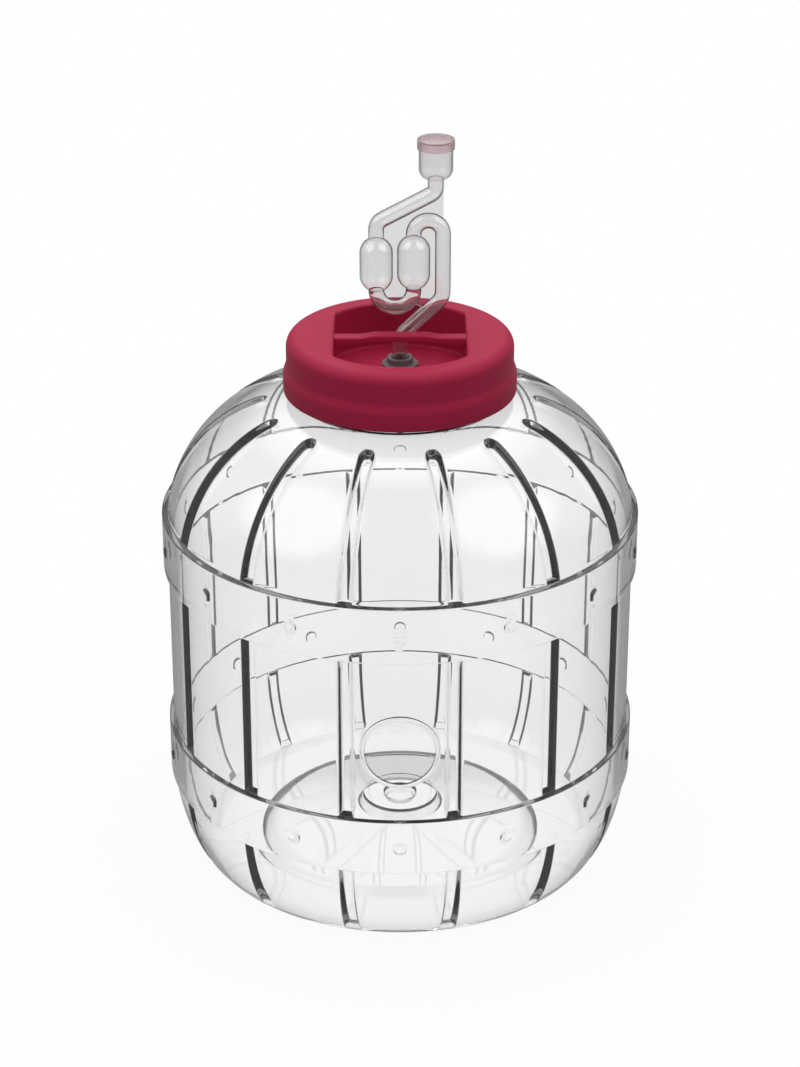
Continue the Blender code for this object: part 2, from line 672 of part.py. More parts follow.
def airlock_stations():
    """The tube's middle line from the stem's tip to the rim of the cup, with its outer and bore radii."""
    stem_foot = (0, -STEM_BELOW_FLOOR)
    stem_corner = (0, STEM_CORNER_HEIGHT)
    riser_corner = (RISER_PLACE, RISER_CORNER_HEIGHT)
    riser_top = (RISER_PLACE, TOP_BEND_HEIGHT)
    left_foot = (SECOND_BULB_PLACE, LOW_BEND_HEIGHT)
    left_corner = (SECOND_BULB_PLACE, LEFT_CORNER_HEIGHT)
    cup_corner = (CUP_PLACE, CUP_CORNER_HEIGHT)
    cup_base = (CUP_PLACE, CUP_BASE_HEIGHT)
    top_bend = ((RISER_PLACE + FIRST_BULB_PLACE) / 2, TOP_BEND_HEIGHT)
    low_bend = ((FIRST_BULB_PLACE + SECOND_BULB_PLACE) / 2, LOW_BEND_HEIGHT)

    def plain(points):
        return [Station(place, height, TUBE_RADIUS, TUBE_RADIUS - TUBE_WALL) for place, height in points]

    tip = Station(*stem_foot, TUBE_RADIUS - STEM_TIP_INSET, TUBE_RADIUS - TUBE_WALL)
    stations = [tip] + plain([(0, STEM_TIP_HEIGHT - STEM_BELOW_FLOOR)])
    stations += plain(rounded_corner(stem_foot, stem_corner, riser_corner, CORNER_REACH))
    stations += plain(rounded_corner(stem_corner, riser_corner, riser_top, CORNER_REACH))
    stations += plain(arc(top_bend, TOP_BEND_RADIUS, 0, math.pi, BEND_STEPS))
    stations += bulb_stations(FIRST_BULB_PLACE, FIRST_BULB_HEIGHT, downwards=True)
    stations += plain(arc(low_bend, LOW_BEND_RADIUS, 0, -math.pi, BEND_STEPS))
    stations += bulb_stations(SECOND_BULB_PLACE, SECOND_BULB_HEIGHT, downwards=False)
    stations += plain(rounded_corner(left_foot, left_corner, cup_corner, CORNER_REACH))
    stations += plain(rounded_corner(left_corner, cup_corner, cup_base, CUP_CORNER_REACH))
    for share in CUP_BOWL_SHARES:
        swell = math.sqrt(1 - (1 - share) ** 2)
        radius = TUBE_RADIUS + (CUP_RADIUS - TUBE_RADIUS) * swell
        bore = TUBE_RADIUS - TUBE_WALL + (CUP_RADIUS - CUP_WALL - TUBE_RADIUS + TUBE_WALL) * swell
        stations.append(Station(CUP_PLACE, CUP_BASE_HEIGHT + CUP_BOWL_HEIGHT * share, radius, bore))
    stations.append(Station(CUP_PLACE, CUP_RIM_HEIGHT, CUP_RADIUS, CUP_RADIUS - CUP_WALL))
    return stations


def web_outline():
    """The flat web that joins the tubes: its edges run inside them, except on the right under the cup."""
    slope = (RISER_CORNER_HEIGHT - STEM_CORNER_HEIGHT) / RISER_PLACE
    edge = CUP_PLACE + WEB_EDGE_BEYOND_CUP
    low_bend = ((FIRST_BULB_PLACE + SECOND_BULB_PLACE) / 2, LOW_BEND_HEIGHT)
    outline = [
        (WEB_LAP_PLACE, STEM_CORNER_HEIGHT + slope * WEB_LAP_PLACE),
        (RISER_PLACE, RISER_CORNER_HEIGHT + CORNER_REACH),
        (RISER_PLACE, TOP_BEND_HEIGHT),
        (edge, TOP_BEND_HEIGHT),
        (edge, CUP_BASE_HEIGHT - CUP_CORNER_REACH),
        (CUP_PLACE, CUP_BASE_HEIGHT - CUP_CORNER_REACH),
        (CUP_PLACE, CUP_CORNER_HEIGHT),
        (SECOND_BULB_PLACE + CORNER_REACH, LEFT_CORNER_HEIGHT),
        (SECOND_BULB_PLACE, LEFT_CORNER_HEIGHT - CORNER_REACH),
    ]
    return outline + arc(low_bend, LOW_BEND_RADIUS, -math.pi, -math.pi / 4, BEND_STEPS)


def make_airlock(collection, cutters, material):
    """Two moulded halves, front and rear, that meet with a small gap in the plane of the web."""
    middle = (0, STEM_BEHIND_BAR, RECESS_FLOOR)
    stations = airlock_stations()
    outer_route = [((s.place, 0, s.height), s.radius) for s in stations]
    first, last = stations[0], stations[-1]
    bore_route = [((first.place, 0, first.height - OVERRUN), first.bore)]
    bore_route += [((s.place, 0, s.height), s.bore) for s in stations]
    bore_route.append(((last.place, 0, last.height + OVERRUN), last.bore))
    bore = as_cutter(tube("airlock_bore", bore_route, 4, cutters, middle))
    web = as_cutter(plate("airlock_web", web_outline(), WEB_THICKNESS, cutters, middle, upright=True))
    widest = 4 * max(CUP_RADIUS, BULB_RADIUS)
    tall = CUP_RIM_HEIGHT + STEM_BELOW_FLOOR + 2 * OVERRUN
    halves = []
    for name, side in (("airlock_front_shell", -1), ("airlock_rear_shell", 1)):
        half = tube(name, outer_route, 4, collection, middle)
        half.data.materials.append(material)
        bm = bmesh.new()
        bmesh.ops.create_cube(bm, size=1)
        for vert in bm.verts:
            vert.co.x *= 2 * widest + RISER_PLACE
            vert.co.y = (vert.co.y - side / 2) * widest + side * FIT_GAP / 2
            vert.co.z = vert.co.z * tall + tall / 2 - STEM_BELOW_FLOOR - OVERRUN
        mesh = bpy.data.meshes.new(f"{name}_trim")
        bm.to_mesh(mesh)
        bm.free()
        trim = as_cutter(mesh_object(f"{name}_trim", mesh, cutters))
        trim.location = middle
        boolean(half, "UNION", web, use_self=True)
        boolean(half, "DIFFERENCE", bore, use_self=True)
        boolean(half, "DIFFERENCE", trim)
        shade(half)
        halves.append(half)
    return halves


def make_cap(collection, material):
    """A shallow lid over the cup, with its origin on the cup's axis at the rim."""
    inner = CUP_RADIUS + FIT_GAP
    outer = inner + CAP_WALL
    top = FIT_GAP + CAP_TOP_THICKNESS
    bottom = top - CAP_TOP_THICKNESS - CAP_SKIRT
    edge = arc((outer - CAP_EDGE_ROUNDING, top - CAP_EDGE_ROUNDING), CAP_EDGE_ROUNDING, math.pi / 2, 0, 2)
    profile = [(0, top)] + edge + [(outer, bottom), (inner, bottom), (inner, FIT_GAP), (0, FIT_GAP)]
    return turned("airlock_cap", profile, CAP_SEGMENTS, collection, material)


def hang(child, parent, place):
    """Puts a piece on the one that carries it, with its origin on its joint's axis."""
    child.parent = parent
    child.location = place


def main():
    clear_scene()
    parts = new_collection("fermentation_jar")
    cutters = new_collection("cutters")
    clear = plastic("clear_pet", (0.93, 0.95, 0.95), 0.05, transmission=1.0)
    crimson = plastic("crimson_plastic", (0.42, 0.017, 0.065), 0.4)
    foam = plastic("seal_foam", (0.85, 0.85, 0.83), 0.8)
    rubber = plastic("grey_rubber", (0.35, 0.33, 0.34), 0.55)
    styrene = plastic("clear_styrene", (0.90, 0.92, 0.92), 0.05, transmission=1.0)
    pink = plastic("pink_plastic", (0.72, 0.36, 0.38), 0.3, transmission=0.5)

    jar = make_jar(parts, cutters, clear)
    seal = make_seal(parts, foam)
    lid = make_lid(parts, cutters, crimson)
    grommet = make_grommet(parts, rubber)
    front, rear = make_airlock(parts, cutters, styrene)
    cap = make_cap(parts, pink)
    hang(seal, jar, (0, 0, 0))
    hang(lid, seal, (0, 0, 0))
    hang(grommet, lid, (0, STEM_BEHIND_BAR, RECESS_FLOOR))
    hang(front, grommet, (0, 0, 0))
    hang(rear, grommet, (0, 0, 0))
    hang(cap, front, (CUP_PLACE, 0, CUP_RIM_HEIGHT))


main()
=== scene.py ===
"""Looks of the clear fermentation jar, its screw lid and its bubbler airlock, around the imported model.

Metres, +Z up, front towards -Y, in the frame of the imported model.
"""

import math
from collections import namedtuple

import bmesh
import bpy
import numpy as np
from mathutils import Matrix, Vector

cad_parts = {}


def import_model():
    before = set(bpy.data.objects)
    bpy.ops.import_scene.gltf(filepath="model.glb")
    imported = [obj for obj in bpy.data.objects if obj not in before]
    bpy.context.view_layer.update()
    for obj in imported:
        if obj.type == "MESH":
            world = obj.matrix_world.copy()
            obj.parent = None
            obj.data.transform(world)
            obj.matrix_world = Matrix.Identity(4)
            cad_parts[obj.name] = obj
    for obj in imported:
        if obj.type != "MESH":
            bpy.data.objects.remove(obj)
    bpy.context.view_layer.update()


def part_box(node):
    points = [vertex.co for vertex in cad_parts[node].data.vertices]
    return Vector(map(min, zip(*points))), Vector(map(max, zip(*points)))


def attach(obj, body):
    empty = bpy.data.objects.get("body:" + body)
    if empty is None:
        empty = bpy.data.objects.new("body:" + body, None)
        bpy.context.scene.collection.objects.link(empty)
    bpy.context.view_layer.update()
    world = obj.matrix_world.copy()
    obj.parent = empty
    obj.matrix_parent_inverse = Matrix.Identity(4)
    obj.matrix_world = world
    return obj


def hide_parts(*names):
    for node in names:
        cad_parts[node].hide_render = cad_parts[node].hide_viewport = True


MERGE = 0.000001
OVERRUN = 0.0020
FIT_GAP = 0.0003

Station = namedtuple("Station", "place height radius bore")
ClearPlastic = namedtuple("ClearPlastic", "name tint second_tint ior roughness clearness")
Lamp = namedtuple("Lamp", "name place target size power")
SoftBox = namedtuple("SoftBox", "azimuth elevation inner outer brightness")

# Barrel
STAVE_COUNT = 14
WALL_RADIUS = 0.1353
HOOP_HEIGHT = 0.0344
HOOP_STEP_HEIGHT = 0.0008
HOOP_EDGE_ROUNDING = 0.0007
HOOP_ROOT_ROUNDING = 0.0003
LOW_HOOP_BOTTOM = 0.0509
HOOP_SPACING = 0.13285
BODY_WALL = 0.0046
RIVET_RADIUS = 0.0038
RIVET_RISE = 0.0012
RIVET_FLATNESS = 4
RING_RADIUS = 0.0212
RING_BEAD_RADIUS = 0.0015
RING_HEIGHT_SHARE = 0.44

# Grooves between the staves
GROOVE_WIDTH = 0.0108
GROOVE_FLOOR_WIDTH = 0.0034
GROOVE_DEPTH = 0.0038
GROOVE_TIP_STRETCH = 1.6
GROOVE_RUN_OUT = 0.0018
GROOVE_WALL_SHARE = 0.84
GROOVE_END_RADIUS = 0.0750
GROOVE_WALL_WIDTH = (GROOVE_WIDTH - GROOVE_FLOOR_WIDTH) / 2 * GROOVE_WALL_SHARE
GROOVE_WALL_MIDDLE = (GROOVE_WIDTH + GROOVE_FLOOR_WIDTH) / 4

# Foot and base
TAPER_REACH = 0.0279
TAPER_CENTRE_HEIGHT = 0.0760
TAPER_RISE_SHARE = 1.05
HEEL_HEIGHT = 0.0006
HEEL_INSET = 0.0006
HEEL_ROUNDING = 0.0005
HEEL_GROOVE_RUN_OUT = 0.0050
FOOT_MATT_HEIGHT = 0.0008
FOOT_MATT_WIDTH = 0.0095
FOOT_ROUGHNESS = 0.5
STANDING_WIDTH = 0.0350
STANDING_ROUNDING = 0.0030
DOME_HEIGHT = 0.0172
DOME_PAD_RADIUS = 0.0250
DOME_PAD_RISE = 0.0060
DOME_PAD_ROUNDING = 0.0015
DOME_PIT_RADIUS = 0.0100
DOME_PIT_DEPTH = 0.0035
DOME_FLANK_RADIUS = 0.0780
DOME_FLANK_ROUNDING = 0.0140
DOME_FLANK_HEIGHT = 0.0072
BASE_WALL = 0.0020
HEEL_WALL = 0.0042
HEEL_INNER_ROUNDING = 0.0004

# Shoulder and neck
SPRING_BELOW_HOOP_TOP = 0.01325
SHOULDER_HEIGHT = 0.0824
SHOULDER_PROUD = 0.0006
CROWN_INSIDE_NECK = 0.0058
NECK_RADIUS = 0.0592
NECK_WALL = 0.0024
NECK_FILLET = 0.0015
RIM_ROUNDING = 0.0009

# Thread
THREAD_STARTS = 2
THREAD_LEAD = 0.0120
THREAD_RIDGE_RADIUS = 0.00175
THREAD_BELOW_RIM = 0.0120
NECK_THREAD_TURN_SHARE = 0.55
LID_THREAD_TURN_SHARE = 0.40
THREAD_END_TURN_SHARE = 0.04

# Lid
LID_INNER_RADIUS = 0.0622
LID_WALL = 0.00245
LID_TOP_THICKNESS = 0.0025
LID_EDGE_ROUNDING = 0.0066
LID_FLANGE_HEIGHT = 0.0105
LID_FLANGE_SLOPE_HEIGHT = 0.0050
LID_LIP_ROUNDING = 0.0010
LID_STEP_ROUNDING = 0.0080
LID_INNER_ROUNDING = 0.0006
WELL_RADIUS = 0.0517
WELL_WALL = 0.0022
WELL_FLOOR = 0.0020
WELL_HALF_WIDTH = 0.0394
WELL_CORNER_ROUNDING = 0.0018
RECESS_DEPTH = 0.0265
RECESS_RIM_ROUNDING = 0.0016
RECESS_FLOOR_ROUNDING = 0.0015
OUTLINE_SHARPNESS = 60
BAR_WIDTH = 0.0080
BAR_THICKNESS = 0.0036
BAR_END_THICKNESS = 0.0062
BAR_DIP = 0.0013
BAR_HUMP_HALF_LENGTH = 0.0140
BAR_HUMP_SLOPE = 0.0090
BAR_ROUNDING = 0.0008
HOLE_RADIUS = 0.0069
SEAL_INNER_LAP = 0.0008
SEAL_ROUNDING = 0.0004

# Grommet: heights are above the floor of the recess
GROMMET_FLANGE_RADIUS = 0.0105
GROMMET_FLANGE_THICKNESS = 0.0022
GROMMET_COLLAR_RADIUS = 0.0075
GROMMET_HEIGHT = 0.0060
GROMMET_PLUG_RADIUS = 0.0066
GROMMET_PLUG_TIP_RADIUS = 0.0060
GROMMET_PLUG_DEPTH = 0.0060
GROMMET_ROUNDING = 0.0006

# Airlock: heights are above the floor of the recess, places are to the right of the stem
STEM_BEHIND_BAR = 0.0170
TUBE_RADIUS = 0.00455
TUBE_WALL = 0.0007
TUBE_BORE = TUBE_RADIUS - TUBE_WALL
STEM_BELOW_FLOOR = 0.0116
STEM_TIP_INSET = 0.0005
STEM_TIP_HEIGHT = 0.0020
STEM_CORNER_HEIGHT = 0.0184
RISER_PLACE = 0.0242
RISER_SLANT_RISE = 0.0232
RISER_LENGTH = 0.03805
CORNER_REACH = 0.0045
BULB_RADIUS = 0.0095
BULB_WALL = 0.0006
BULB_LENGTH = 0.0323
BULB_END_GAP = 0.0004
BULB_GAP = 0.0021
RISER_BULB_GAP = 0.00245
SECOND_BULB_DROP = 0.0012
LEFT_CORNER_ABOVE_BULB = 0.00855
CUP_INSIDE_RISER = 0.0042
CUP_SLANT_RISE = 0.0179
CUP_CORNER_REACH = 0.0035
CUP_STEM_LENGTH = 0.0081
CUP_HEIGHT = 0.0213
CUP_RADIUS = 0.00965
CUP_WALL = 0.0010
CUP_BORE = CUP_RADIUS - CUP_WALL
CUP_BOWL_HEIGHT = 0.0060
WEB_THICKNESS = 0.0020
WEB_EDGE_BEYOND_CUP = 0.0044
WEB_LAP_SHARE = 0.72
WEB_END_ANGLE = math.radians(-45)
CAP_WALL = 0.0006
CAP_TOP_THICKNESS = 0.0012
CAP_SKIRT = 0.0043
CAP_EDGE_ROUNDING = 0.0005

# Fineness
GROOVE_SECTION_SHARES = (-0.15, 0, 0.12, 0.24, 0.36, 0.45, 0.55, 0.64, 0.76, 0.88, 1, 1.15)
RIVET_SHARES = (0, 0.4, 0.7, 0.88, 0.97, 1.0, 1.12)
STAVE_BETWEEN_SHARES = (0.02, 0.05, 0.1, 0.18, 0.3, 0.44, 0.58, 0.72, 0.84, 0.92, 0.97)
ROW_SPACING = 0.0045
LEVEL_ROW_SPACING = 0.0180
FINE_SPACING = 0.0007
TIP_SPACING = FINE_SPACING / 3
THREAD_ROW_SPACING = 0.0006
EDGE_SUPPORT = 0.0003
LEAST_SUPPORTS = 4
SHORT_NEIGHBOUR_RATIO = 3
ARC_SPACING = 0.0012
CORNER_STEPS = 5
SHOULDER_STEPS = 80
TAPER_STEPS = 12
INNER_TAPER_STEPS = 14
INNER_BLEND_PER_METRE = 1500
LID_COLUMNS = 256
BAR_STEPS = 48
BAR_CORNER_STEPS = 4
TUBE_SIDES = 40
TUBE_CORNER_STEPS = 10
BEND_STEPS = 20
BULB_STEPS = 14
BOWL_STEPS = 12
TURN_STEPS = 96
RING_STEPS = 96
RING_SIDES = 12
FLOOR_SIDES = 64
SMOOTH_ANGLE = math.radians(38)

# Plastics: grain scales are in waves per metre
CLEAR_PET = ClearPlastic("clear_pet", (0.990, 0.995, 0.995), (0.995, 1.0, 0.997), 1.57, 0.02, 0.98)
CLEAR_STYRENE = ClearPlastic("clear_styrene", (0.96, 0.96, 0.96), (0.98, 0.98, 0.98), 1.45, 0.03, 0.97)
CLEAR_CLOUD_SCALE = 14
CLEAR_CLOUD_DETAIL = 2
CLEAR_GLOSS_SCALE = 40
STYRENE_COAT = 0.6
STYRENE_COAT_IOR = 1.8
STYRENE_ABSORBED = (0.50, 0.495, 0.495)
STYRENE_DENSITY = 190
GRAIN_DETAIL = 3
GRAIN_DEPTH = 0.0002
BUMP_STRENGTH = 0.15
SPECULAR_LEVEL = 0.5
SolidPlastic = namedtuple(
    "SolidPlastic",
    "name colour second_colour roughness grain_scales gloss_detail bump_strength specular transmission",
    defaults=(GRAIN_DETAIL, BUMP_STRENGTH, SPECULAR_LEVEL, 0),
)
CRIMSON_PLASTIC = SolidPlastic(
    "crimson_plastic", (0.44, 0.014, 0.06), (0.47, 0.018, 0.068), (0.48, 0.6), (30, 160, 1800),
    gloss_detail=4, bump_strength=0.12, specular=0.25,
)
GREY_RUBBER = SolidPlastic(
    "grey_rubber", (0.13, 0.12, 0.125), (0.24, 0.22, 0.225), (0.5, 0.65), (260, 780, 1560)
)
SEAL_FOAM = SolidPlastic("seal_foam", (0.8, 0.8, 0.78), (0.86, 0.86, 0.84), (0.7, 0.85), (400, 1200, 2400))
PINK_PLASTIC = SolidPlastic(
    "pink_plastic", (0.93, 0.74, 0.75), (0.96, 0.78, 0.79), (0.2, 0.3), (60, 180, 360), transmission=0.88
)

# Camera: the photograph's viewpoint
CAMERA_DISTANCE = 1.4769
CAMERA_HEIGHT = 0.8990
CAMERA_PITCH = math.radians(-25.39)
CAMERA_LENS = 94.45
CAMERA_SENSOR = 36.0

# Studio: the angles of the soft boxes are in degrees, seen from the jar, with the front at 0
LAMPS = (
    Lamp("overhead", (-0.1, 0.35, 2.2), (0, 0, 0.25), 3.6, 38),
    Lamp("front_box", (0.3, -1.5, 1.5), (0, 0, 0.3), 1.0, 3.5),
)
SOFT_BOXES = (
    SoftBox(-68, 42, 18, 34, 1.8),
    SoftBox(68, 42, 18, 34, 1.8),
    SoftBox(180, 55, 6, 44, 1.8),
    SoftBox(-112, 20, 10, 30, 0.6),
    SoftBox(112, 20, 10, 30, 0.6),
)
ROOM_BRIGHTNESS = 0.30
WHITE = (1, 1, 1)
PALE_STUDIO = (0.8, 0.8, 0.8)
WORLD_COLOUR = (0.30, 0.30, 0.305)
FLOOR_RADIUS = 12.0
FLOOR_COLOUR = (0.8, 0.8, 0.8)
BOUNCE_COLOUR = (0.25, 0.25, 0.25)
STUDIO_GREY = (0.34, 0.34, 0.34)
SHADOW_SHARE = 0.07
SHADOW_REACH = 0.42


def arc(centre, radius, start, end, steps):
    """Points on an arc, with both ends."""
    angles = [start + (end - start) * i / steps for i in range(steps + 1)]
    return [(centre[0] + radius * math.cos(a), centre[1] + radius * math.sin(a)) for a in angles]


def rounded(turns):
    """A line through turns of (radius, height, rounding), with an arc in place of each rounded corner."""
    points = []
    for i, (*point, rounding) in enumerate(turns):
        if not rounding or i in (0, len(turns) - 1):
            points.append(tuple(point))
            continue
        corner = Vector(point)
        before = (Vector(turns[i - 1][:2]) - corner).normalized()
        after = (Vector(turns[i + 1][:2]) - corner).normalized()
        half = before.angle(after) / 2
        reach = rounding / math.tan(half)
        centre = corner + (before + after).normalized() * rounding / math.sin(half)
        first = corner + before * reach - centre
        sweep = first.angle_signed(corner + after * reach - centre)
        start = math.atan2(first.y, first.x)
        steps = max(CORNER_STEPS, round(abs(sweep) * rounding / ARC_SPACING))
        points += arc(centre, rounding, start, start - sweep, steps)
    return points


def towards(first, last, distance):
    """The point this far from the first one on the way to the last."""
    length = math.dist(first, last)
    return tuple(a + (b - a) * distance / length for a, b in zip(first, last))


def spread(first, last, spacing):
    """Points between two ends, without the last one."""
    count = max(round(math.dist(first, last) / spacing), 1)
    return [tuple(a + (b - a) * i / count for a, b in zip(first, last)) for i in range(count)]


def full_turn(count):
    """Evenly spaced angles all the way round."""
    return np.arange(count) * 2 * math.pi / count


def add_object(name, data):
    obj = bpy.data.objects.new(name, data)
    bpy.context.scene.collection.objects.link(obj)
    return obj


def finish_mesh(name, bm):
    mesh = bpy.data.meshes.new(name)
    bm.to_mesh(mesh)
    bm.free()
    mesh.shade_smooth()
    return add_object(name, mesh)


def grid_object(name, points, ring=False):
    """A closed loft through rows of points, each a loop. With ring, the last row joins the first."""
    rows, columns, _ = points.shape
    last = rows if ring else rows - 1
    down, across = np.meshgrid(np.arange(last), np.arange(columns), indexing="ij")
    next_down = (down + 1) % rows
    next_across = (across + 1) % columns
    faces = np.stack(
        [down * columns + across, down * columns + next_across,
         next_down * columns + next_across, next_down * columns + across], -1
    ).reshape(-1, 4)
    mesh = bpy.data.meshes.new(name)
    mesh.from_pydata(points.reshape(-1, 3).tolist(), [], faces.tolist())
    bm = bmesh.new()
    bm.from_mesh(mesh)
    bpy.data.meshes.remove(mesh)
    bmesh.ops.remove_doubles(bm, verts=bm.verts, dist=MERGE)
    bmesh.ops.holes_fill(bm, edges=[edge for edge in bm.edges if edge.is_boundary])
    bmesh.ops.recalc_face_normals(bm, faces=bm.faces)
    return finish_mesh(name, bm)


def turned(name, profile, place=(0, 0, 0), closed=True):
    """A (radius, height) outline turned about the vertical axis through the place."""
    angles = full_turn(TURN_STEPS)
    outline = np.array(profile)
    radius = outline[:, 0:1]
    points = np.stack(
        [place[0] + radius * np.cos(angles), place[1] + radius * np.sin(angles),
         place[2] + outline[:, 1:2] + 0 * angles], -1
    )
    return grid_object(name, points, ring=closed)


def combine(obj, operation, other):
    """Joins or cuts with another closed mesh, which is removed, and applies the result."""
    modifier = obj.modifiers.new(operation, "BOOLEAN")
    modifier.operation = operation
    modifier.solver = "MANIFOLD"
    modifier.object = other
    bpy.context.view_layer.update()
    graph = bpy.context.evaluated_depsgraph_get()
    mesh = bpy.data.meshes.new_from_object(obj.evaluated_get(graph))
    old = obj.data
    obj.modifiers.clear()
    obj.data = mesh
    bpy.data.meshes.remove(old)
    bpy.data.objects.remove(other)
    mesh.shade_smooth()
    mesh.set_sharp_from_angle(angle=SMOOTH_ANGLE)
    return obj


class Barrel:
    """The jar's outline and the features moulded on it, with the sizes that the frame gives."""

    def __init__(self):
        low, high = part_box("jar")
        self.hoop_radius = high.x
        self.rim_height = high.z
        self.rivet_rise = min(RIVET_RISE, high.y - high.x)
        self.low_top = LOW_HOOP_BOTTOM + HOOP_HEIGHT
        self.high_bottom = LOW_HOOP_BOTTOM + HOOP_SPACING
        self.high_top = self.high_bottom + HOOP_HEIGHT
        self.spring_height = self.high_top - SPRING_BELOW_HOOP_TOP
        self.crown_radius = NECK_RADIUS - CROWN_INSIDE_NECK
        self.reach = WALL_RADIUS + SHOULDER_PROUD - self.crown_radius
        self.spring_angle = math.asin(SPRING_BELOW_HOOP_TOP / SHOULDER_HEIGHT)
        self.tip_angle = math.acos((GROOVE_END_RADIUS - self.crown_radius) / self.reach)
        self.pitch = 2 * math.pi / STAVE_COUNT
        self.ring_height = self.low_top + (self.high_bottom - self.low_top) * RING_HEIGHT_SHARE
        self.thread_bottom = self.rim_height - THREAD_BELOW_RIM
        self.heel_radius = self.taper_radius(HEEL_HEIGHT)

    def taper_radius(self, height, inset=0.0):
        """Radius of the staves below the lower hoop, or of a skin this far inside them."""
        drop = (TAPER_CENTRE_HEIGHT - height) / (TAPER_CENTRE_HEIGHT * TAPER_RISE_SHARE)
        swell = math.sqrt(max(1 - drop * drop, 0))
        return self.hoop_radius - TAPER_REACH + TAPER_REACH * swell - inset

    def shoulder_point(self, angle, inset=0.0):
        return (
            self.crown_radius + (self.reach - inset) * math.cos(angle),
            self.spring_height + (SHOULDER_HEIGHT - inset) * math.sin(angle),
        )

    def shoulder_turns(self, start, end, inset=0.0):
        """The shoulder's curve between two angles, without its first point."""
        angles = [start + (end - start) * i / SHOULDER_STEPS for i in range(1, SHOULDER_STEPS + 1)]
        return [(*self.shoulder_point(angle, inset), 0) for angle in angles]

    def base_turns(self):
        """The pushed-up middle of the base, out to the standing ring and round the heel."""
        standing = self.heel_radius - HEEL_INSET
        return self.dome_turns(0) + [
            (standing - STANDING_WIDTH, 0, STANDING_ROUNDING),
            (standing, 0, HEEL_ROUNDING),
            (self.heel_radius, HEEL_HEIGHT, HEEL_ROUNDING / 2),
        ]

    def dome_turns(self, above):
        """The pushed-up middle, from its centre out to its steep flank, this far above the underside."""
        top = DOME_HEIGHT + DOME_PAD_RISE + above
        low = DOME_HEIGHT + above
        small = DOME_PAD_ROUNDING
        pad_inner = DOME_PAD_RADIUS - DOME_PAD_RISE / 2
        return [
            (0, top - DOME_PIT_DEPTH, 0),
            (DOME_PIT_RADIUS - DOME_PIT_DEPTH / 2, top - DOME_PIT_DEPTH, small / 2),
            (DOME_PIT_RADIUS, top, small / 2),
            (pad_inner, top, small),
            (DOME_PAD_RADIUS, low, small),
            (DOME_FLANK_RADIUS, above + DOME_FLANK_HEIGHT, DOME_FLANK_ROUNDING),
        ]

    def hoop_turns(self, bottom, root):
        top = bottom + HOOP_HEIGHT
        hoop = self.hoop_radius
        return [
            (root, bottom, HOOP_ROOT_ROUNDING),
            (hoop, bottom + HOOP_STEP_HEIGHT, HOOP_EDGE_ROUNDING),
            (hoop, top - HOOP_STEP_HEIGHT, HOOP_EDGE_ROUNDING),
            (WALL_RADIUS, top, HOOP_ROOT_ROUNDING),
        ]

    def outer_turns(self):
        """The outside without its grooves, from the middle of the base up to the rim."""
        turns = self.base_turns()
        start = HEEL_HEIGHT + HEEL_ROUNDING
        end = LOW_HOOP_BOTTOM - GROOVE_RUN_OUT
        for i in range(TAPER_STEPS + 1):
            height = start + (end - start) * i / TAPER_STEPS
            turns.append((self.taper_radius(height), height, 0))
        turns += self.hoop_turns(LOW_HOOP_BOTTOM, self.taper_radius(LOW_HOOP_BOTTOM))
        turns += self.hoop_turns(self.high_bottom, WALL_RADIUS)[:-1]
        neck_angle = math.acos((CROWN_INSIDE_NECK + NECK_FILLET) / self.reach)
        turns.append((*self.shoulder_point(self.spring_angle), HOOP_ROOT_ROUNDING))
        turns += self.shoulder_turns(self.spring_angle, neck_angle)
        turns.append((NECK_RADIUS, turns[-1][1] + NECK_FILLET / 3, 0))
        turns.append((NECK_RADIUS, self.rim_height, RIM_ROUNDING))
        turns.append((NECK_RADIUS - NECK_WALL, self.rim_height, RIM_ROUNDING))
        return turns

    def inner_turns(self):
        """The smooth inside, from the neck down to the middle of the base."""
        inner_neck = NECK_RADIUS - NECK_WALL
        neck_angle = math.acos((inner_neck - self.crown_radius) / (self.reach - BODY_WALL))
        turns = [(*self.shoulder_point(neck_angle, BODY_WALL), 0)]
        turns += self.shoulder_turns(neck_angle, self.spring_angle, BODY_WALL)
        straight = WALL_RADIUS - BODY_WALL
        turns.append((straight, turns[-1][1] - HOOP_STEP_HEIGHT, 0))
        for i in range(INNER_TAPER_STEPS + 1):
            height = LOW_HOOP_BOTTOM + (HEEL_WALL - LOW_HOOP_BOTTOM) * i / INNER_TAPER_STEPS
            radius = blended_least(self.taper_radius(height, BODY_WALL), straight)
            turns.append((radius, height, 0))
        turns[-1] = (*turns[-1][:2], HEEL_INNER_ROUNDING)
        inner_standing = self.heel_radius - HEEL_INSET - STANDING_WIDTH
        turns.append((inner_standing, HEEL_WALL, STANDING_ROUNDING))
        return turns + self.dome_turns(BASE_WALL)[::-1]


def blended_least(first, second):
    """The smaller of two radii, with a smooth change from one to the other."""
    rate = INNER_BLEND_PER_METRE
    return -math.log(math.exp(-first * rate) + math.exp(-second * rate)) / rate


def cut_at_heights(first, last, heights):
    """The ends of a straight stretch and the points where it passes these heights."""
    cuts = [first]
    for height in sorted(heights, reverse=bool(first[1] > last[1])):
        share = (height - first[1]) / (last[1] - first[1])
        cuts.append((first[0] + (last[0] - first[0]) * share, height))
    return cuts + [last]


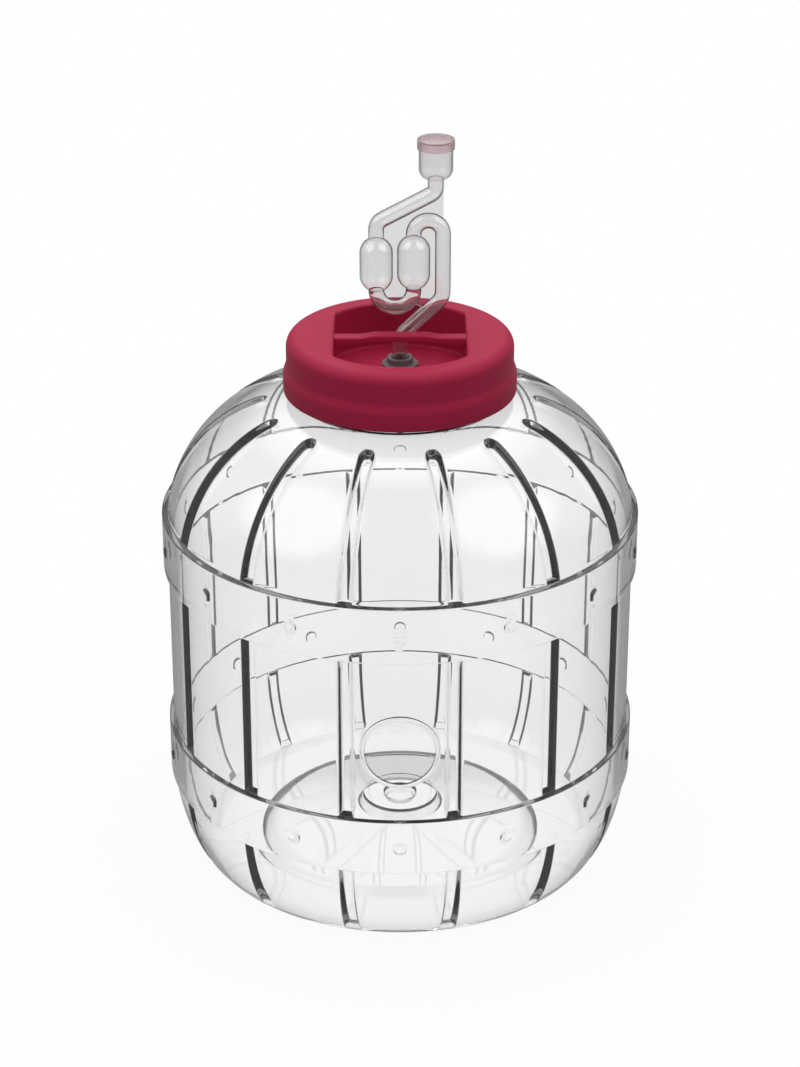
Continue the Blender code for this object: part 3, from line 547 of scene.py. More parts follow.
def fill_rows(points, zones):
    """Adds rows between the outline's points, closer together in the zones of (lowest, highest, spacing).

    A long stretch that meets a short one gets a supporting row beside their common point.
    """
    rows = []
    lengths = [math.dist(first, last) for first, last in zip(points, points[1:])]
    beside = [lengths[0]] + lengths + [lengths[-1]]
    for i, (first, last) in enumerate(zip(points, points[1:])):
        rows.append(first)
        low, high = sorted((first[1], last[1]))
        if high - low < MERGE:
            rows += spread(first, last, LEVEL_ROW_SPACING)[1:]
            continue
        edges = {edge for zone in zones for edge in zone[:2] if low < edge < high}
        cuts = cut_at_heights(first, last, edges)
        for start, end in zip(cuts, cuts[1:]):
            middle = (start[1] + end[1]) / 2
            spacings = [zone[2] for zone in zones if zone[0] < middle < zone[1]]
            if start != first:
                rows.append(start)
            length = math.dist(start, end)
            roomy = length > LEAST_SUPPORTS * EDGE_SUPPORT
            short = length / SHORT_NEIGHBOUR_RATIO
            if roomy and start == first and beside[i] < short:
                rows.append(towards(start, end, EDGE_SUPPORT))
            rows += spread(start, end, min(spacings + [ROW_SPACING]))[1:]
            if roomy and end == last and beside[i + 2] < short:
                rows.append(towards(end, start, EDGE_SUPPORT))
    rows.append(points[-1])
    return rows


def groove_section(across):
    """Depth share of a groove at a distance from its middle: rounded walls on both sides of a flat floor."""
    along = np.clip((GROOVE_WALL_MIDDLE - np.abs(across)) / GROOVE_WALL_WIDTH, -1 / 2, 1 / 2)
    return (1 + np.sin(math.pi * along)) / 2


def mirrored(places):
    """These places on both sides of zero, in order."""
    return [-place for place in places[:0:-1]] + places


def jar_angles(barrel, radii):
    """The angle of each grid point, rows by columns, and its distance across the nearest groove."""
    edge_place = GROOVE_WALL_MIDDLE + GROOVE_WALL_WIDTH / 2
    walls = [edge_place - share * GROOVE_WALL_WIDTH for share in GROOVE_SECTION_SHARES]
    groove = mirrored([0] + walls[::-1])
    rivets = mirrored([share * RIVET_RADIUS for share in RIVET_SHARES])
    held = np.maximum(radii, NECK_RADIUS)[:, None]
    edge = groove[-1] / held
    rivet_angle = np.array(rivets)[None, :] / barrel.hoop_radius + 0 * held
    first_rivet = barrel.pitch / 2 + rivet_angle[:, 0:1]
    up = edge + (first_rivet - edge) * np.array(STAVE_BETWEEN_SHARES)[None, :]
    groove_angle = np.array(groove)[None, :] / held
    one = np.concatenate([groove_angle, up, barrel.pitch / 2 + rivet_angle, barrel.pitch - up[:, ::-1]], 1)
    far = np.full(one.shape[1], GROOVE_WIDTH)
    far[: len(groove)] = groove
    angles = [one + (stave + 1 / 2) * barrel.pitch - math.pi / 2 for stave in range(STAVE_COUNT)]
    return np.concatenate(angles, 1), np.tile(far, STAVE_COUNT)


def shoulder_tip(barrel, radius, height, across):
    """Depth share of the grooves near their rounded ends high on the shoulder."""
    angle = barrel.tip_angle
    end = np.array(barrel.shoulder_point(angle))
    outward = np.array((math.sin(angle), -math.cos(angle)))
    centre = end + outward * GROOVE_WIDTH / 2 * GROOVE_TIP_STRETCH
    beyond = np.maximum((centre[0] - radius) * outward[0] + (centre[1] - height) * outward[1], 0)
    beyond = np.where(height > barrel.spring_height, beyond, 0)
    return groove_section(np.hypot(across[None, :], beyond / GROOVE_TIP_STRETCH))


def groove_depth(barrel, rows, across):
    """Depth of the grooves at each grid point of the outer skin. They run out at the hoops and the heel."""
    radius, height = rows[:, 0:1], rows[:, 1:2]
    run = GROOVE_RUN_OUT
    low = np.clip((LOW_HOOP_BOTTOM - height) / run, 0, 1)
    heel = np.clip((height - HEEL_HEIGHT) / HEEL_GROOVE_RUN_OUT, 0, 1)
    heel = np.where(radius > barrel.heel_radius - STANDING_WIDTH / 2, heel, 0)
    middle = np.clip(np.minimum(height - barrel.low_top, barrel.high_bottom - height) / run, 0, 1)
    section = groove_section(across)[None, :]
    straight = np.minimum(section, np.where(height < LOW_HOOP_BOTTOM, low * heel, middle))
    above = height > barrel.high_top
    start = np.clip((height - barrel.high_top) / run, 0, 1)
    end = shoulder_tip(barrel, radius, height, across)
    shoulder = np.where(above & (radius > NECK_RADIUS), np.minimum(end, start), 0)
    return GROOVE_DEPTH * np.where(above, shoulder, straight)


def rivet_height(barrel, rows, angles):
    """Rise of the round rivet heads on both hoops."""
    rise = np.zeros(angles.shape)
    from_middle = (angles + math.pi / 2 + barrel.pitch / 2) % barrel.pitch - barrel.pitch / 2
    for bottom in (LOW_HOOP_BOTTOM, barrel.high_bottom):
        up = rows[:, 1:2] - bottom - HOOP_HEIGHT / 2
        away = np.hypot(from_middle * barrel.hoop_radius, up) / RIVET_RADIUS
        rise += barrel.rivet_rise * np.sqrt(np.clip(1 - away ** RIVET_FLATNESS, 0, 1))
    return rise


def thread_height(bottom, turn_share, height, angles):
    """Rise of a thread's ridges at each point of a cylinder, with ends that fade out."""
    size = THREAD_RIDGE_RADIUS
    rise = np.zeros(angles.shape)
    for i in range(THREAD_STARTS):
        turn = ((angles - 2 * math.pi * i / THREAD_STARTS) / (2 * math.pi)) % 1.0
        away = (height - bottom - THREAD_LEAD * turn) / size
        fade = np.clip(np.minimum(turn, turn_share - turn) / THREAD_END_TURN_SHARE, 0, 1)
        rise = np.maximum(rise, size * fade * np.sqrt(np.clip(1 - away ** 2, 0, 1)))
    return rise


def thread_zone(bottom, turn_share):
    """The heights that a thread's ridges take up, and the spacing of rows there."""
    top = bottom + THREAD_LEAD * turn_share
    return bottom - THREAD_RIDGE_RADIUS, top + THREAD_RIDGE_RADIUS, THREAD_ROW_SPACING


def outline_normals(rows):
    """Outward unit normals of a (radius, height) outline, listed from the base's middle outwards."""
    step = np.gradient(rows, axis=0)
    normals = np.stack([step[:, 1], -step[:, 0]], 1)
    return normals / np.maximum(np.linalg.norm(normals, axis=1, keepdims=True), MERGE)


def fine_zones(barrel):
    """The heights where the outer skin needs closer rows: rivets, the grooves' ends and the thread."""
    zones = []
    reach = RIVET_RADIUS * RIVET_SHARES[-1]
    for bottom in (LOW_HOOP_BOTTOM, barrel.high_bottom):
        middle = bottom + HOOP_HEIGHT / 2
        zones.append((middle - reach, middle + reach, FINE_SPACING))
    half = GROOVE_RUN_OUT / 2
    for edge, side in (
        (LOW_HOOP_BOTTOM, -half), (barrel.low_top, half), (barrel.high_bottom, -half), (barrel.high_top, half)
    ):
        zones.append((edge + side - half, edge + side + half, FINE_SPACING))
    tip = barrel.shoulder_point(barrel.tip_angle)[1]
    zones.append((tip - GROOVE_WIDTH / 4, tip, TIP_SPACING))
    zones.append((HEEL_HEIGHT, HEEL_HEIGHT + HEEL_GROOVE_RUN_OUT, FINE_SPACING))
    zones.append(thread_zone(barrel.thread_bottom, NECK_THREAD_TURN_SHARE))
    return zones


def make_jar(barrel):
    """One skin, outside and inside, with its grooves, rivets and thread square to the outside."""
    outer = np.array(fill_rows(rounded(barrel.outer_turns()), fine_zones(barrel)))
    inner = np.array(fill_rows(rounded([(*outer[-1], 0)] + barrel.inner_turns()), []))[1:]
    angles, across = jar_angles(barrel, np.concatenate([outer, inner])[:, 0])
    around = angles[: len(outer)]
    out = rivet_height(barrel, outer, around) - groove_depth(barrel, outer, across)
    thread = thread_height(barrel.thread_bottom, NECK_THREAD_TURN_SHARE, outer[:, 1:2], around)
    out += np.where(np.isclose(outer[:, 0:1], NECK_RADIUS), thread, 0)
    normals = outline_normals(outer)
    flat = 0 * angles[len(outer):]
    radius = np.concatenate([outer[:, 0:1] + out * normals[:, 0:1], inner[:, 0:1] + flat])
    height = np.concatenate([outer[:, 1:2] + out * normals[:, 1:2], inner[:, 1:2] + flat])
    points = np.stack([radius * np.cos(angles), radius * np.sin(angles), height], -1)
    jar = grid_object("jar_body_clear", points)
    return combine(jar, "UNION", make_ring(barrel))


def make_ring(barrel):
    """The plain raised ring on the front wall: a thin torus bent round the barrel and half sunk in it."""
    around = full_turn(RING_STEPS)[:, None]
    section = full_turn(RING_SIDES)[None, :]
    reach = RING_RADIUS + RING_BEAD_RADIUS * np.cos(section)
    across, up = reach * np.cos(around), reach * np.sin(around)
    radius = WALL_RADIUS + RING_BEAD_RADIUS * np.sin(section) + 0 * around
    angle = across / WALL_RADIUS - math.pi / 2
    points = np.stack([radius * np.cos(angle), radius * np.sin(angle), barrel.ring_height + up], -1)
    return grid_object("front_ring", points, ring=True)


def cut_circle(radius, half_width, angles):
    """Distance from the middle to a circle with straight left and right sides and rounded corners."""
    side = half_width / np.maximum(np.abs(np.cos(angles)), MERGE)
    nearest = np.minimum(side, radius)
    blend = (nearest / side) ** OUTLINE_SHARPNESS + (nearest / radius) ** OUTLINE_SHARPNESS
    return nearest * blend ** (-1 / OUTLINE_SHARPNESS)


def lid_rows(angles, outline, turns, behind=0.0):
    """Rows round the lid at offsets from an outline, which is zero for a round part."""
    rows = []
    for offset, height in turns:
        distance = outline + offset
        places = [distance * np.cos(angles), distance * np.sin(angles) + behind, height + 0 * angles]
        rows.append(np.stack(places, -1))
    return rows


def skirt_rows(barrel, angles, bottom, ceiling, flange):
    """The inside of the skirt with its thread, whose ridges run half way between those of the neck."""
    thread_bottom = barrel.thread_bottom - THREAD_LEAD / THREAD_STARTS / 2
    outline = fill_rows(rounded([
        (flange - 2 * LID_LIP_ROUNDING, bottom, 0),
        (LID_INNER_RADIUS, bottom, LID_INNER_ROUNDING),
        (LID_INNER_RADIUS, ceiling, LID_INNER_ROUNDING),
        (WELL_RADIUS + WELL_CORNER_ROUNDING, ceiling, 0),
    ]), [thread_zone(thread_bottom, LID_THREAD_TURN_SHARE)])
    rows = []
    for radius, height in outline:
        rise = thread_height(thread_bottom, LID_THREAD_TURN_SHARE, height, angles)
        on_wall = math.isclose(radius, LID_INNER_RADIUS, abs_tol=MERGE)
        rows += lid_rows(angles, -rise if on_wall else 0, [(radius, height)])
    return rows


def make_lid(barrel):
    """One skin from the lip round the skirt, the ceiling, the well and its hole, the recess and the top."""
    low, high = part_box("lid")
    bottom, top = low.z, high.z
    ceiling = top - LID_TOP_THICKNESS
    floor = top - RECESS_DEPTH
    well_bottom = floor - WELL_FLOOR
    flange = high.x
    flange_top = bottom + LID_FLANGE_HEIGHT
    outer = LID_INNER_RADIUS + LID_WALL
    corner = WELL_CORNER_ROUNDING
    angles = full_turn(LID_COLUMNS)
    well = cut_circle(WELL_RADIUS, WELL_HALF_WIDTH, angles)
    recess = cut_circle(WELL_RADIUS - WELL_WALL, WELL_HALF_WIDTH - WELL_WALL, angles)
    rows = skirt_rows(barrel, angles, bottom, ceiling, flange)
    rows += lid_rows(angles, well, rounded([
        (2 * corner, ceiling, 0),
        (0, ceiling, corner / 2),
        (0, well_bottom, corner),
        (-2 * corner, well_bottom, 0),
    ])[1:])
    rows += lid_rows(angles, 0, rounded([
        (2 * HOLE_RADIUS, well_bottom, 0),
        (HOLE_RADIUS, well_bottom, LID_INNER_ROUNDING),
        (HOLE_RADIUS, floor, LID_INNER_ROUNDING),
        (2 * HOLE_RADIUS, floor, 0),
    ])[1:-1], behind=STEM_BEHIND_BAR)
    rows += lid_rows(angles, recess, rounded([
        (-2 * corner, floor, 0),
        (0, floor, RECESS_FLOOR_ROUNDING),
        (0, top, RECESS_RIM_ROUNDING),
        (2 * corner, top, 0),
    ])[:-1])
    rows += lid_rows(angles, 0, rounded([
        (WELL_RADIUS + corner, top, 0),
        (outer, top, LID_EDGE_ROUNDING),
        (outer, flange_top + LID_FLANGE_SLOPE_HEIGHT, LID_STEP_ROUNDING),
        (flange, flange_top, LID_STEP_ROUNDING),
        (flange, bottom, LID_LIP_ROUNDING),
        (flange - 2 * LID_LIP_ROUNDING, bottom, 0),
    ])[:-1])
    lid = grid_object("screw_lid_shell", np.array(rows), ring=True)
    return combine(lid, "UNION", make_bar(top))


def make_bar(top):
    """The grip bar: its top dips beside a middle hump, its underside is arched, its edges are rounded."""
    half = WELL_HALF_WIDTH - WELL_WALL / 2
    sag = BAR_DIP + BAR_END_THICKNESS - BAR_THICKNESS
    side = BAR_WIDTH / 2 - BAR_ROUNDING
    rows = []
    for i in range(BAR_STEPS + 1):
        across = half * (2 * i / BAR_STEPS - 1)
        share = min(max((abs(across) - BAR_HUMP_HALF_LENGTH) / BAR_HUMP_SLOPE, 0), 1)
        upper = top - BAR_DIP * share * share * (3 - 2 * share) - BAR_ROUNDING
        lower = top - BAR_THICKNESS - sag * (across / half) ** 2 + BAR_ROUNDING
        section = []
        for k, middle in enumerate([(-side, lower), (side, lower), (side, upper), (-side, upper)]):
            start = (k - 2) * math.pi / 2
            section += arc(middle, BAR_ROUNDING, start, start + math.pi / 2, BAR_CORNER_STEPS)
        rows.append([(across, depth, height) for depth, height in section])
    return grid_object("grip_bar", np.array(rows))


def make_grommet(place):
    bore = TUBE_RADIUS + FIT_GAP
    flange_top = FIT_GAP + GROMMET_FLANGE_THICKNESS
    small = GROMMET_ROUNDING
    turns = [
        (bore, FIT_GAP, 0),
        (bore, GROMMET_HEIGHT, small),
        (GROMMET_COLLAR_RADIUS, GROMMET_HEIGHT, small),
        (GROMMET_COLLAR_RADIUS, flange_top, small / 2),
        (GROMMET_FLANGE_RADIUS, flange_top, small),
        (GROMMET_FLANGE_RADIUS, FIT_GAP, small / 2),
        (GROMMET_PLUG_RADIUS, FIT_GAP, 0),
        (GROMMET_PLUG_RADIUS, -WELL_FLOOR, small / 2),
        (GROMMET_PLUG_TIP_RADIUS, -GROMMET_PLUG_DEPTH, small),
        (bore, -GROMMET_PLUG_DEPTH, 0),
    ]
    return turned("rubber_grommet", rounded(turns), place)


def make_seal():
    low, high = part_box("lid_seal")
    inner = NECK_RADIUS - NECK_WALL - SEAL_INNER_LAP
    small = SEAL_ROUNDING
    turns = [
        ((inner + high.x) / 2, low.z, 0),
        (inner, low.z, small),
        (inner, high.z, small),
        (high.x, high.z, small),
        (high.x, low.z, small),
        ((inner + high.x) / 2, low.z, 0),
    ]
    return turned("sealing_ring", rounded(turns)[:-1])


def smooth_corner(before, corner, after, reach):
    """Points round a corner of the tube's middle line, starting and ending this far from it."""
    controls = (towards(corner, before, reach), corner, towards(corner, after, reach))
    points = []
    for i in range(TUBE_CORNER_STEPS + 1):
        t = i / TUBE_CORNER_STEPS
        weights = ((1 - t) ** 2, 2 * t * (1 - t), t * t)
        points.append(tuple(sum(w * p[k] for w, p in zip(weights, controls)) for k in range(2)))
    return points


def plain_stations(points):
    return [Station(place, height, TUBE_RADIUS, TUBE_BORE) for place, height in points]


def bulb_stations(place, height, downwards):
    """A bulb with round ends, where the tube's own bore is the least that it has."""
    half = BULB_LENGTH / 2 - BULB_RADIUS
    widest = math.acos(TUBE_RADIUS / BULB_RADIUS)
    upper = []
    for i in range(BULB_STEPS + 1):
        angle = widest * (1 - i / BULB_STEPS)
        bore = (BULB_RADIUS - BULB_WALL) * math.cos(angle)
        up = height + half + BULB_RADIUS * math.sin(angle)
        upper.append(Station(place, up, BULB_RADIUS * math.cos(angle), max(bore, TUBE_BORE)))
    lower = [station._replace(height=2 * height - station.height) for station in reversed(upper)]
    stations = upper + lower
    return stations if downwards else stations[::-1]


class Airlock:
    """Places on the airlock's middle line, worked out from its sizes."""

    def __init__(self):
        self.riser_corner = (RISER_PLACE, STEM_CORNER_HEIGHT + RISER_SLANT_RISE)
        self.top = self.riser_corner[1] + RISER_LENGTH
        self.low = self.top - BULB_LENGTH - 2 * BULB_END_GAP
        self.top_radius = (BULB_RADIUS + RISER_BULB_GAP + TUBE_RADIUS) / 2
        self.low_radius = BULB_RADIUS + BULB_GAP / 2
        self.first = RISER_PLACE - 2 * self.top_radius
        self.second = self.first - 2 * self.low_radius
        self.low_middle = ((self.first + self.second) / 2, self.low)
        self.first_height = (self.top + self.low) / 2
        self.second_height = self.first_height - SECOND_BULB_DROP
        self.left_corner = (self.second, self.second_height + BULB_LENGTH / 2 + LEFT_CORNER_ABOVE_BULB)
        self.cup = RISER_PLACE - CUP_INSIDE_RISER
        self.cup_corner = (self.cup, self.left_corner[1] + CUP_SLANT_RISE)
        self.cup_base = self.cup_corner[1] + CUP_STEM_LENGTH
        self.rim = self.cup_base + CUP_HEIGHT

    def stations(self):
        """The tube's middle line and radii, from the tip of the stem to the rim of the cup."""
        foot = (0, -STEM_BELOW_FLOOR)
        stem_corner = (0, STEM_CORNER_HEIGHT)
        riser_top = (RISER_PLACE, self.top)
        top_middle = ((RISER_PLACE + self.first) / 2, self.top)
        second_bulb = (self.second, self.second_height)
        cup_base = (self.cup, self.cup_base)
        stem = [(0, STEM_TIP_HEIGHT - STEM_BELOW_FLOOR)]
        stem += smooth_corner(foot, stem_corner, self.riser_corner, CORNER_REACH)
        stem += smooth_corner(stem_corner, self.riser_corner, riser_top, CORNER_REACH)
        stem += arc(top_middle, self.top_radius, 0, math.pi, BEND_STEPS)
        low_bend = arc(self.low_middle, self.low_radius, 0, -math.pi, BEND_STEPS)
        outlet = smooth_corner(second_bulb, self.left_corner, self.cup_corner, CORNER_REACH)
        outlet += smooth_corner(self.left_corner, self.cup_corner, cup_base, CUP_CORNER_REACH)
        return (
            [Station(*foot, TUBE_RADIUS - STEM_TIP_INSET, TUBE_BORE)] + plain_stations(stem)
            + bulb_stations(self.first, self.first_height, downwards=True)
            + plain_stations(low_bend)
            + bulb_stations(self.second, self.second_height, downwards=False)
            + plain_stations(outlet) + self.cup_stations()
        )

    def cup_stations(self):
        """The cup's round bowl and its straight side."""
        stations = []
        for i in range(BOWL_STEPS + 1):
            share = 1 - math.cos(math.pi / 2 * i / BOWL_STEPS)
            swell = math.sqrt(1 - (1 - share) ** 2)
            radius = TUBE_RADIUS + (CUP_RADIUS - TUBE_RADIUS) * swell
            bore = TUBE_BORE + (CUP_BORE - TUBE_BORE) * swell
            stations.append(Station(self.cup, self.cup_base + CUP_BOWL_HEIGHT * share, radius, bore))
        return stations + [Station(self.cup, self.rim, CUP_RADIUS, CUP_BORE)]

    def web_outline(self):
        """The flat sheet between the tubes, with its edges inside them."""
        slope = RISER_SLANT_RISE / RISER_PLACE
        lap = RISER_PLACE * WEB_LAP_SHARE
        edge = self.cup + WEB_EDGE_BEYOND_CUP
        below_cup = self.cup_base - CUP_CORNER_REACH
        outline = [
            (lap, STEM_CORNER_HEIGHT + slope * lap),
            (RISER_PLACE, self.riser_corner[1] + CORNER_REACH),
            (RISER_PLACE, self.top),
            (edge, self.top),
            (edge, below_cup),
            (self.cup, below_cup),
            self.cup_corner,
            (self.second + CORNER_REACH, self.left_corner[1]),
            (self.second, self.left_corner[1] - CORNER_REACH),
        ]
        return outline + arc(self.low_middle, self.low_radius, -math.pi, WEB_END_ANGLE, BEND_STEPS)


def tube_object(name, middles, radii, place):
    """A loft of rings square to the middle line."""
    middles = np.array(middles)
    radii = np.array(radii)[:, None]
    step = np.gradient(middles, axis=0)
    step /= np.maximum(np.linalg.norm(step, axis=1, keepdims=True), MERGE)
    side = np.stack([step[:, 1], -step[:, 0]], 1)
    angles = full_turn(TUBE_SIDES)
    x = place[0] + middles[:, 0:1] + radii * side[:, 0:1] * np.cos(angles)
    y = place[1] + radii * np.sin(angles)
    z = place[2] + middles[:, 1:2] + radii * side[:, 1:2] * np.cos(angles)
    return grid_object(name, np.stack([x, y, z], -1))


def plate_object(name, outline, thickness, place):
    bm = bmesh.new()
    verts = [bm.verts.new((place[0] + x, place[1] - thickness / 2, place[2] + z)) for x, z in outline]
    face = bm.faces.new(verts)
    moved = bmesh.ops.extrude_face_region(bm, geom=[face])["geom"]
    far_verts = [part for part in moved if isinstance(part, bmesh.types.BMVert)]
    bmesh.ops.translate(bm, vec=(0, thickness, 0), verts=far_verts)
    bmesh.ops.recalc_face_normals(bm, faces=bm.faces)
    return finish_mesh(name, bm)


def make_airlock(airlock, place):
    """The tube with its bulbs and cup, joined to its web and bored through from end to end."""
    stations = airlock.stations()
    middles = [(station.place, station.height) for station in stations]
    body = tube_object("airlock_clear", middles, [station.radius for station in stations], place)
    below = (middles[0][0], middles[0][1] - OVERRUN)
    above = (middles[-1][0], middles[-1][1] + OVERRUN)
    bores = [station.bore for station in stations]
    bores = [bores[0]] + bores + [bores[-1]]
    bore = tube_object("airlock_bore", [below] + middles + [above], bores, place)
    web = plate_object("airlock_web", airlock.web_outline(), WEB_THICKNESS, place)
    combine(body, "UNION", web)
    return combine(body, "DIFFERENCE", bore)


def make_cap(airlock, place):
    """A shallow lid over the cup's rim."""
    inner = CUP_RADIUS + FIT_GAP
    outer = inner + CAP_WALL
    top = FIT_GAP + CAP_TOP_THICKNESS
    bottom = FIT_GAP - CAP_SKIRT
    small = CAP_EDGE_ROUNDING
    turns = [
        (0, top, 0),
        (outer, top, small),
        (outer, bottom, small / 4),
        (inner, bottom, small / 4),
        (inner, FIT_GAP, small / 2),
        (0, FIT_GAP, 0),
    ]
    rim = (place[0] + airlock.cup, place[1], place[2] + airlock.rim)
    return turned("airlock_dust_cap", rounded(turns), rim, closed=False)


def set_inputs(tree, made, sources):
    """Links each of these inputs to a socket, or sets it to a value."""
    for name, source in sources.items():
        if isinstance(source, bpy.types.NodeSocket):
            tree.links.new(source, made.inputs[name])
        else:
            made.inputs[name].default_value = source


def node(tree, kind, *sources, **settings):
    """A shader node with its settings and the sources of its first inputs."""
    made = tree.nodes.new(kind)
    for name, value in settings.items():
        setattr(made, name, value)
    set_inputs(tree, made, dict(enumerate(sources)))
    return made


def calculated(tree, operation, first, second):
    return node(tree, "ShaderNodeMath", first, second, operation=operation).outputs[0]


def noise(tree, scale, detail=GRAIN_DETAIL):
    texture = node(tree, "ShaderNodeTexNoise", node(tree, "ShaderNodeTexCoord").outputs["Object"])
    set_inputs(tree, texture, {"Scale": scale, "Detail": detail})
    return texture.outputs["Fac"]


def ramp(tree, source, from_low, from_high, low, high, interpolation="LINEAR"):
    """Carries a value from one range over to another."""
    values = (source, from_low, from_high, low, high)
    return node(tree, "ShaderNodeMapRange", *values, interpolation_type=interpolation).outputs["Result"]


def mixed_colour(tree, source, first, second):
    mix = node(tree, "ShaderNodeMix", data_type="RGBA")
    set_inputs(tree, mix, {"A": (*first, 1), "B": (*second, 1), "Factor": source})
    return mix.outputs["Result"]


def coloured_shader(tree, kind, colour):
    return node(tree, kind, (*colour, 1)).outputs[0]


def mixed_shader(tree, share, first, second):
    return node(tree, "ShaderNodeMixShader", share, first, second).outputs[0]


def new_material(name):
    material = bpy.data.materials.new(name)
    material.use_nodes = True
    return material, material.node_tree, material.node_tree.nodes["Principled BSDF"]


def clear_plastic(plastic):
    """A clear moulded plastic with a trace of tint that varies, and faint flow marks in its gloss."""
    material, tree, shader = new_material(plastic.name)
    cloud = noise(tree, CLEAR_CLOUD_SCALE, CLEAR_CLOUD_DETAIL)
    set_inputs(tree, shader, {
        "Base Color": mixed_colour(tree, cloud, plastic.tint, plastic.second_tint),
        "Roughness": ramp(tree, noise(tree, CLEAR_GLOSS_SCALE), 0, 1, 0, plastic.roughness),
        "Transmission Weight": plastic.clearness,
        "IOR": plastic.ior,
    })
    return material, tree, shader


def clear_pet(barrel):
    """The jar's plastic, with a matt outer edge to the face that the jar stands on."""
    material, tree, shader = clear_plastic(CLEAR_PET)
    gloss = shader.inputs["Roughness"].links[0].from_socket
    place = node(tree, "ShaderNodeTexCoord").outputs["Object"]
    height = node(tree, "ShaderNodeSeparateXYZ", place).outputs["Z"]
    foot = ramp(tree, height, 0, FOOT_MATT_HEIGHT, FOOT_ROUGHNESS, 0)
    flat = node(tree, "ShaderNodeVectorMath", place, (1, 1, 0), operation="MULTIPLY").outputs[0]
    distance = node(tree, "ShaderNodeVectorMath", flat, operation="LENGTH").outputs["Value"]
    outside = calculated(tree, "GREATER_THAN", distance, barrel.heel_radius - FOOT_MATT_WIDTH)
    ring = calculated(tree, "MULTIPLY", foot, outside)
    set_inputs(tree, shader, {"Roughness": calculated(tree, "MAXIMUM", gloss, ring)})
    return material


def clear_styrene():
    """The airlock's plastic, grey in its thickness and with brilliant highlights."""
    material, tree, shader = clear_plastic(CLEAR_STYRENE)
    set_inputs(tree, shader, {"Coat Weight": STYRENE_COAT, "Coat IOR": STYRENE_COAT_IOR})
    volume = node(tree, "ShaderNodeVolumeAbsorption", (*STYRENE_ABSORBED, 1), STYRENE_DENSITY)
    set_inputs(tree, tree.nodes["Material Output"], {"Volume": volume.outputs["Volume"]})
    return material


def solid_plastic(plastic):
    """A solid or cloudy plastic, rubber or foam with a fine grain."""
    material, tree, shader = new_material(plastic.name)
    cloud_scale, gloss_scale, bump_scale = plastic.grain_scales
    cloud = noise(tree, cloud_scale)
    gloss = noise(tree, gloss_scale, plastic.gloss_detail)
    bump = node(tree, "ShaderNodeBump")
    bumps = {"Strength": plastic.bump_strength, "Distance": GRAIN_DEPTH, "Height": noise(tree, bump_scale)}
    set_inputs(tree, bump, bumps)
    set_inputs(tree, shader, {
        "Base Color": mixed_colour(tree, cloud, plastic.colour, plastic.second_colour),
        "Roughness": ramp(tree, gloss, 0, 1, *plastic.roughness),
        "Specular IOR Level": plastic.specular,
        "Transmission Weight": plastic.transmission,
        "Normal": bump.outputs["Normal"],
    })
    return material


def dress(obj, material, body, slot, *nodes):
    obj.data.materials.clear()
    obj.data.materials.append(material)
    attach(obj, body)
    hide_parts(*nodes)


def make_camera():
    data = bpy.data.cameras.new("camera")
    data.sensor_fit = "VERTICAL"
    data.sensor_height = CAMERA_SENSOR
    data.lens = CAMERA_LENS
    camera = add_object("camera", data)
    camera.location = (0, -CAMERA_DISTANCE, CAMERA_HEIGHT)
    camera.rotation_euler = (math.pi / 2 + CAMERA_PITCH, 0, 0)
    bpy.context.scene.camera = camera


def area_lamp(lamp):
    """A round soft lamp that isn't seen in reflections or through the plastic."""
    data = bpy.data.lights.new(lamp.name, "AREA")
    data.shape = "DISK"
    data.size = lamp.size
    data.energy = lamp.power
    obj = add_object(lamp.name, data)
    obj.location = lamp.place
    obj.rotation_euler = (Vector(lamp.target) - Vector(lamp.place)).to_track_quat("-Z", "Y").to_euler()
    obj.visible_glossy = False
    obj.visible_transmission = False


def reflected_share(tree, path):
    """One for light that was reflected on its way, zero for what is seen directly or straight through."""
    return calculated(tree, "MINIMUM", path.outputs["Glossy Depth"], 1)


def make_floor():
    """White with a faint shadow where it is seen, grey where it is reflected, dim as a source of light."""
    bm = bmesh.new()
    bmesh.ops.create_circle(bm, cap_ends=True, segments=FLOOR_SIDES, radius=FLOOR_RADIUS)
    floor = finish_mesh("floor", bm)
    material = bpy.data.materials.new("floor")
    material.use_nodes = True
    tree = material.node_tree
    tree.nodes.clear()
    path = node(tree, "ShaderNodeLightPath")
    place = node(tree, "ShaderNodeTexCoord").outputs["Object"]
    distance = node(tree, "ShaderNodeVectorMath", place, operation="LENGTH").outputs["Value"]
    fade = ramp(tree, distance, 0, SHADOW_REACH, SHADOW_SHARE, 0, "SMOOTHSTEP")
    white = coloured_shader(tree, "ShaderNodeEmission", WHITE)
    shadowed = coloured_shader(tree, "ShaderNodeBsdfDiffuse", FLOOR_COLOUR)
    grey = coloured_shader(tree, "ShaderNodeEmission", STUDIO_GREY)
    bounce = coloured_shader(tree, "ShaderNodeBsdfDiffuse", BOUNCE_COLOUR)
    seen = mixed_shader(tree, fade, white, shadowed)
    reflected = mixed_shader(tree, reflected_share(tree, path), seen, grey)
    final = mixed_shader(tree, path.outputs["Is Diffuse Ray"], reflected, bounce)
    node(tree, "ShaderNodeOutputMaterial", final)
    floor.data.materials.append(material)


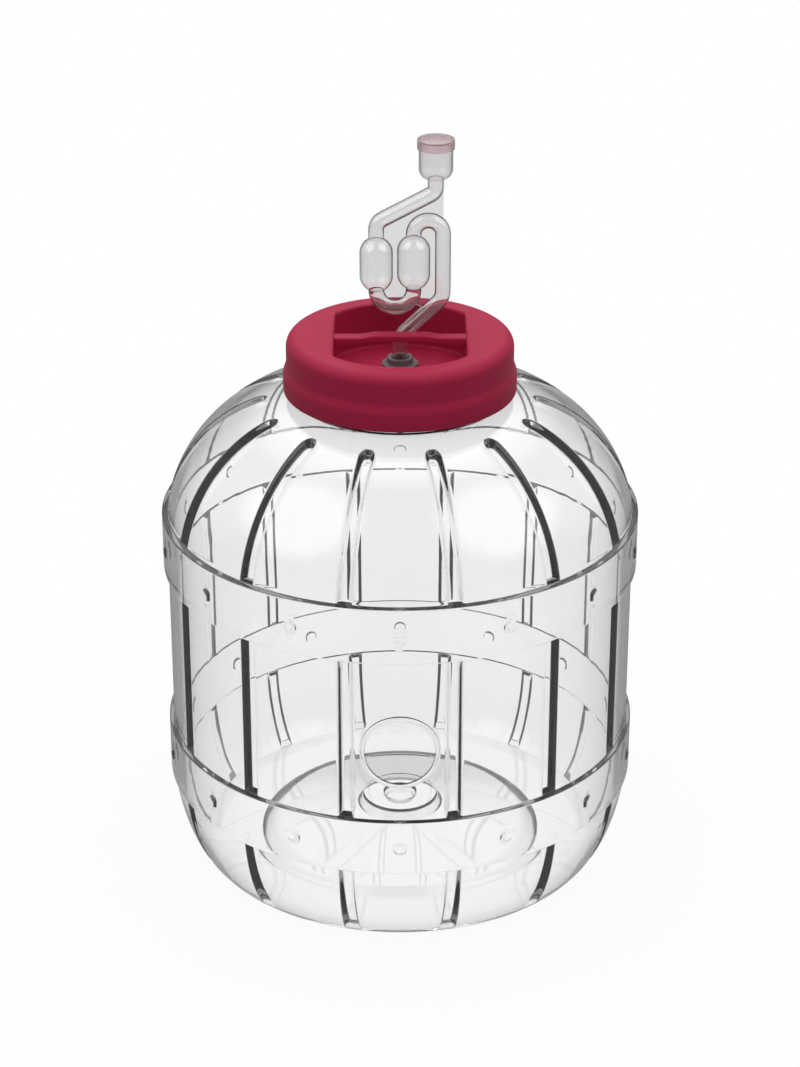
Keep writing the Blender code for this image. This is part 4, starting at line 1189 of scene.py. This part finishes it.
def make_world():
    """White where it is seen, plain grey as soft light, and a room with soft boxes where it is reflected."""
    world = bpy.data.worlds.new("studio")
    bpy.context.scene.world = world
    world.use_nodes = True
    tree = world.node_tree
    tree.nodes.clear()
    path = node(tree, "ShaderNodeLightPath")
    kind = "ShaderNodeBackground"
    through = coloured_shader(tree, kind, PALE_STUDIO)
    studio = node(tree, kind, (*PALE_STUDIO, 1), studio_brightness(tree)).outputs[0]
    soft = coloured_shader(tree, kind, WORLD_COLOUR)
    backdrop = coloured_shader(tree, kind, WHITE)
    seen = mixed_shader(tree, reflected_share(tree, path), through, studio)
    lit = mixed_shader(tree, path.outputs["Is Diffuse Ray"], seen, soft)
    final = mixed_shader(tree, path.outputs["Is Camera Ray"], lit, backdrop)
    node(tree, "ShaderNodeOutputWorld", final)


def studio_brightness(tree):
    """Brightness of the reflected studio by direction: a dim room with large soft boxes."""
    direction = node(tree, "ShaderNodeTexCoord").outputs["Generated"]
    total = ROOM_BRIGHTNESS
    for box in SOFT_BOXES:
        azimuth, elevation, inner, outer = (math.radians(angle) for angle in box[:4])
        across = math.cos(elevation)
        centre = (across * math.sin(azimuth), -across * math.cos(azimuth), math.sin(elevation))
        facing = node(tree, "ShaderNodeVectorMath", direction, centre, operation="DOT_PRODUCT")
        reach = (math.cos(outer), math.cos(inner))
        glow = ramp(tree, facing.outputs["Value"], *reach, 0, box.brightness, "SMOOTHSTEP")
        total = calculated(tree, "ADD", glow, total)
    return total


def main():
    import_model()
    bpy.context.scene.view_settings.view_transform = "Standard"
    make_camera()
    make_world()
    make_floor()
    for lamp in LAMPS:
        area_lamp(lamp)

    barrel = Barrel()
    airlock = Airlock()
    recess_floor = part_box("lid")[1].z - RECESS_DEPTH
    stem_place = (0, STEM_BEHIND_BAR, recess_floor)
    dress(make_jar(barrel), clear_pet(barrel), "jar_body", "clear_pet", "jar")
    dress(make_lid(barrel), solid_plastic(CRIMSON_PLASTIC), "screw_lid", "crimson_plastic", "lid")
    dress(make_seal(), solid_plastic(SEAL_FOAM), "seal", "seal_foam", "lid_seal")
    dress(make_grommet(stem_place), solid_plastic(GREY_RUBBER), "bung", "grey_rubber", "grommet")
    airlock_piece = make_airlock(airlock, stem_place)
    shells = ("airlock_front_shell", "airlock_rear_shell")
    dress(airlock_piece, clear_styrene(), "airlock", "clear_styrene", *shells)
    cap = make_cap(airlock, stem_place)
    dress(cap, solid_plastic(PINK_PLASTIC), "cap", "pink_plastic", "airlock_cap")


main()
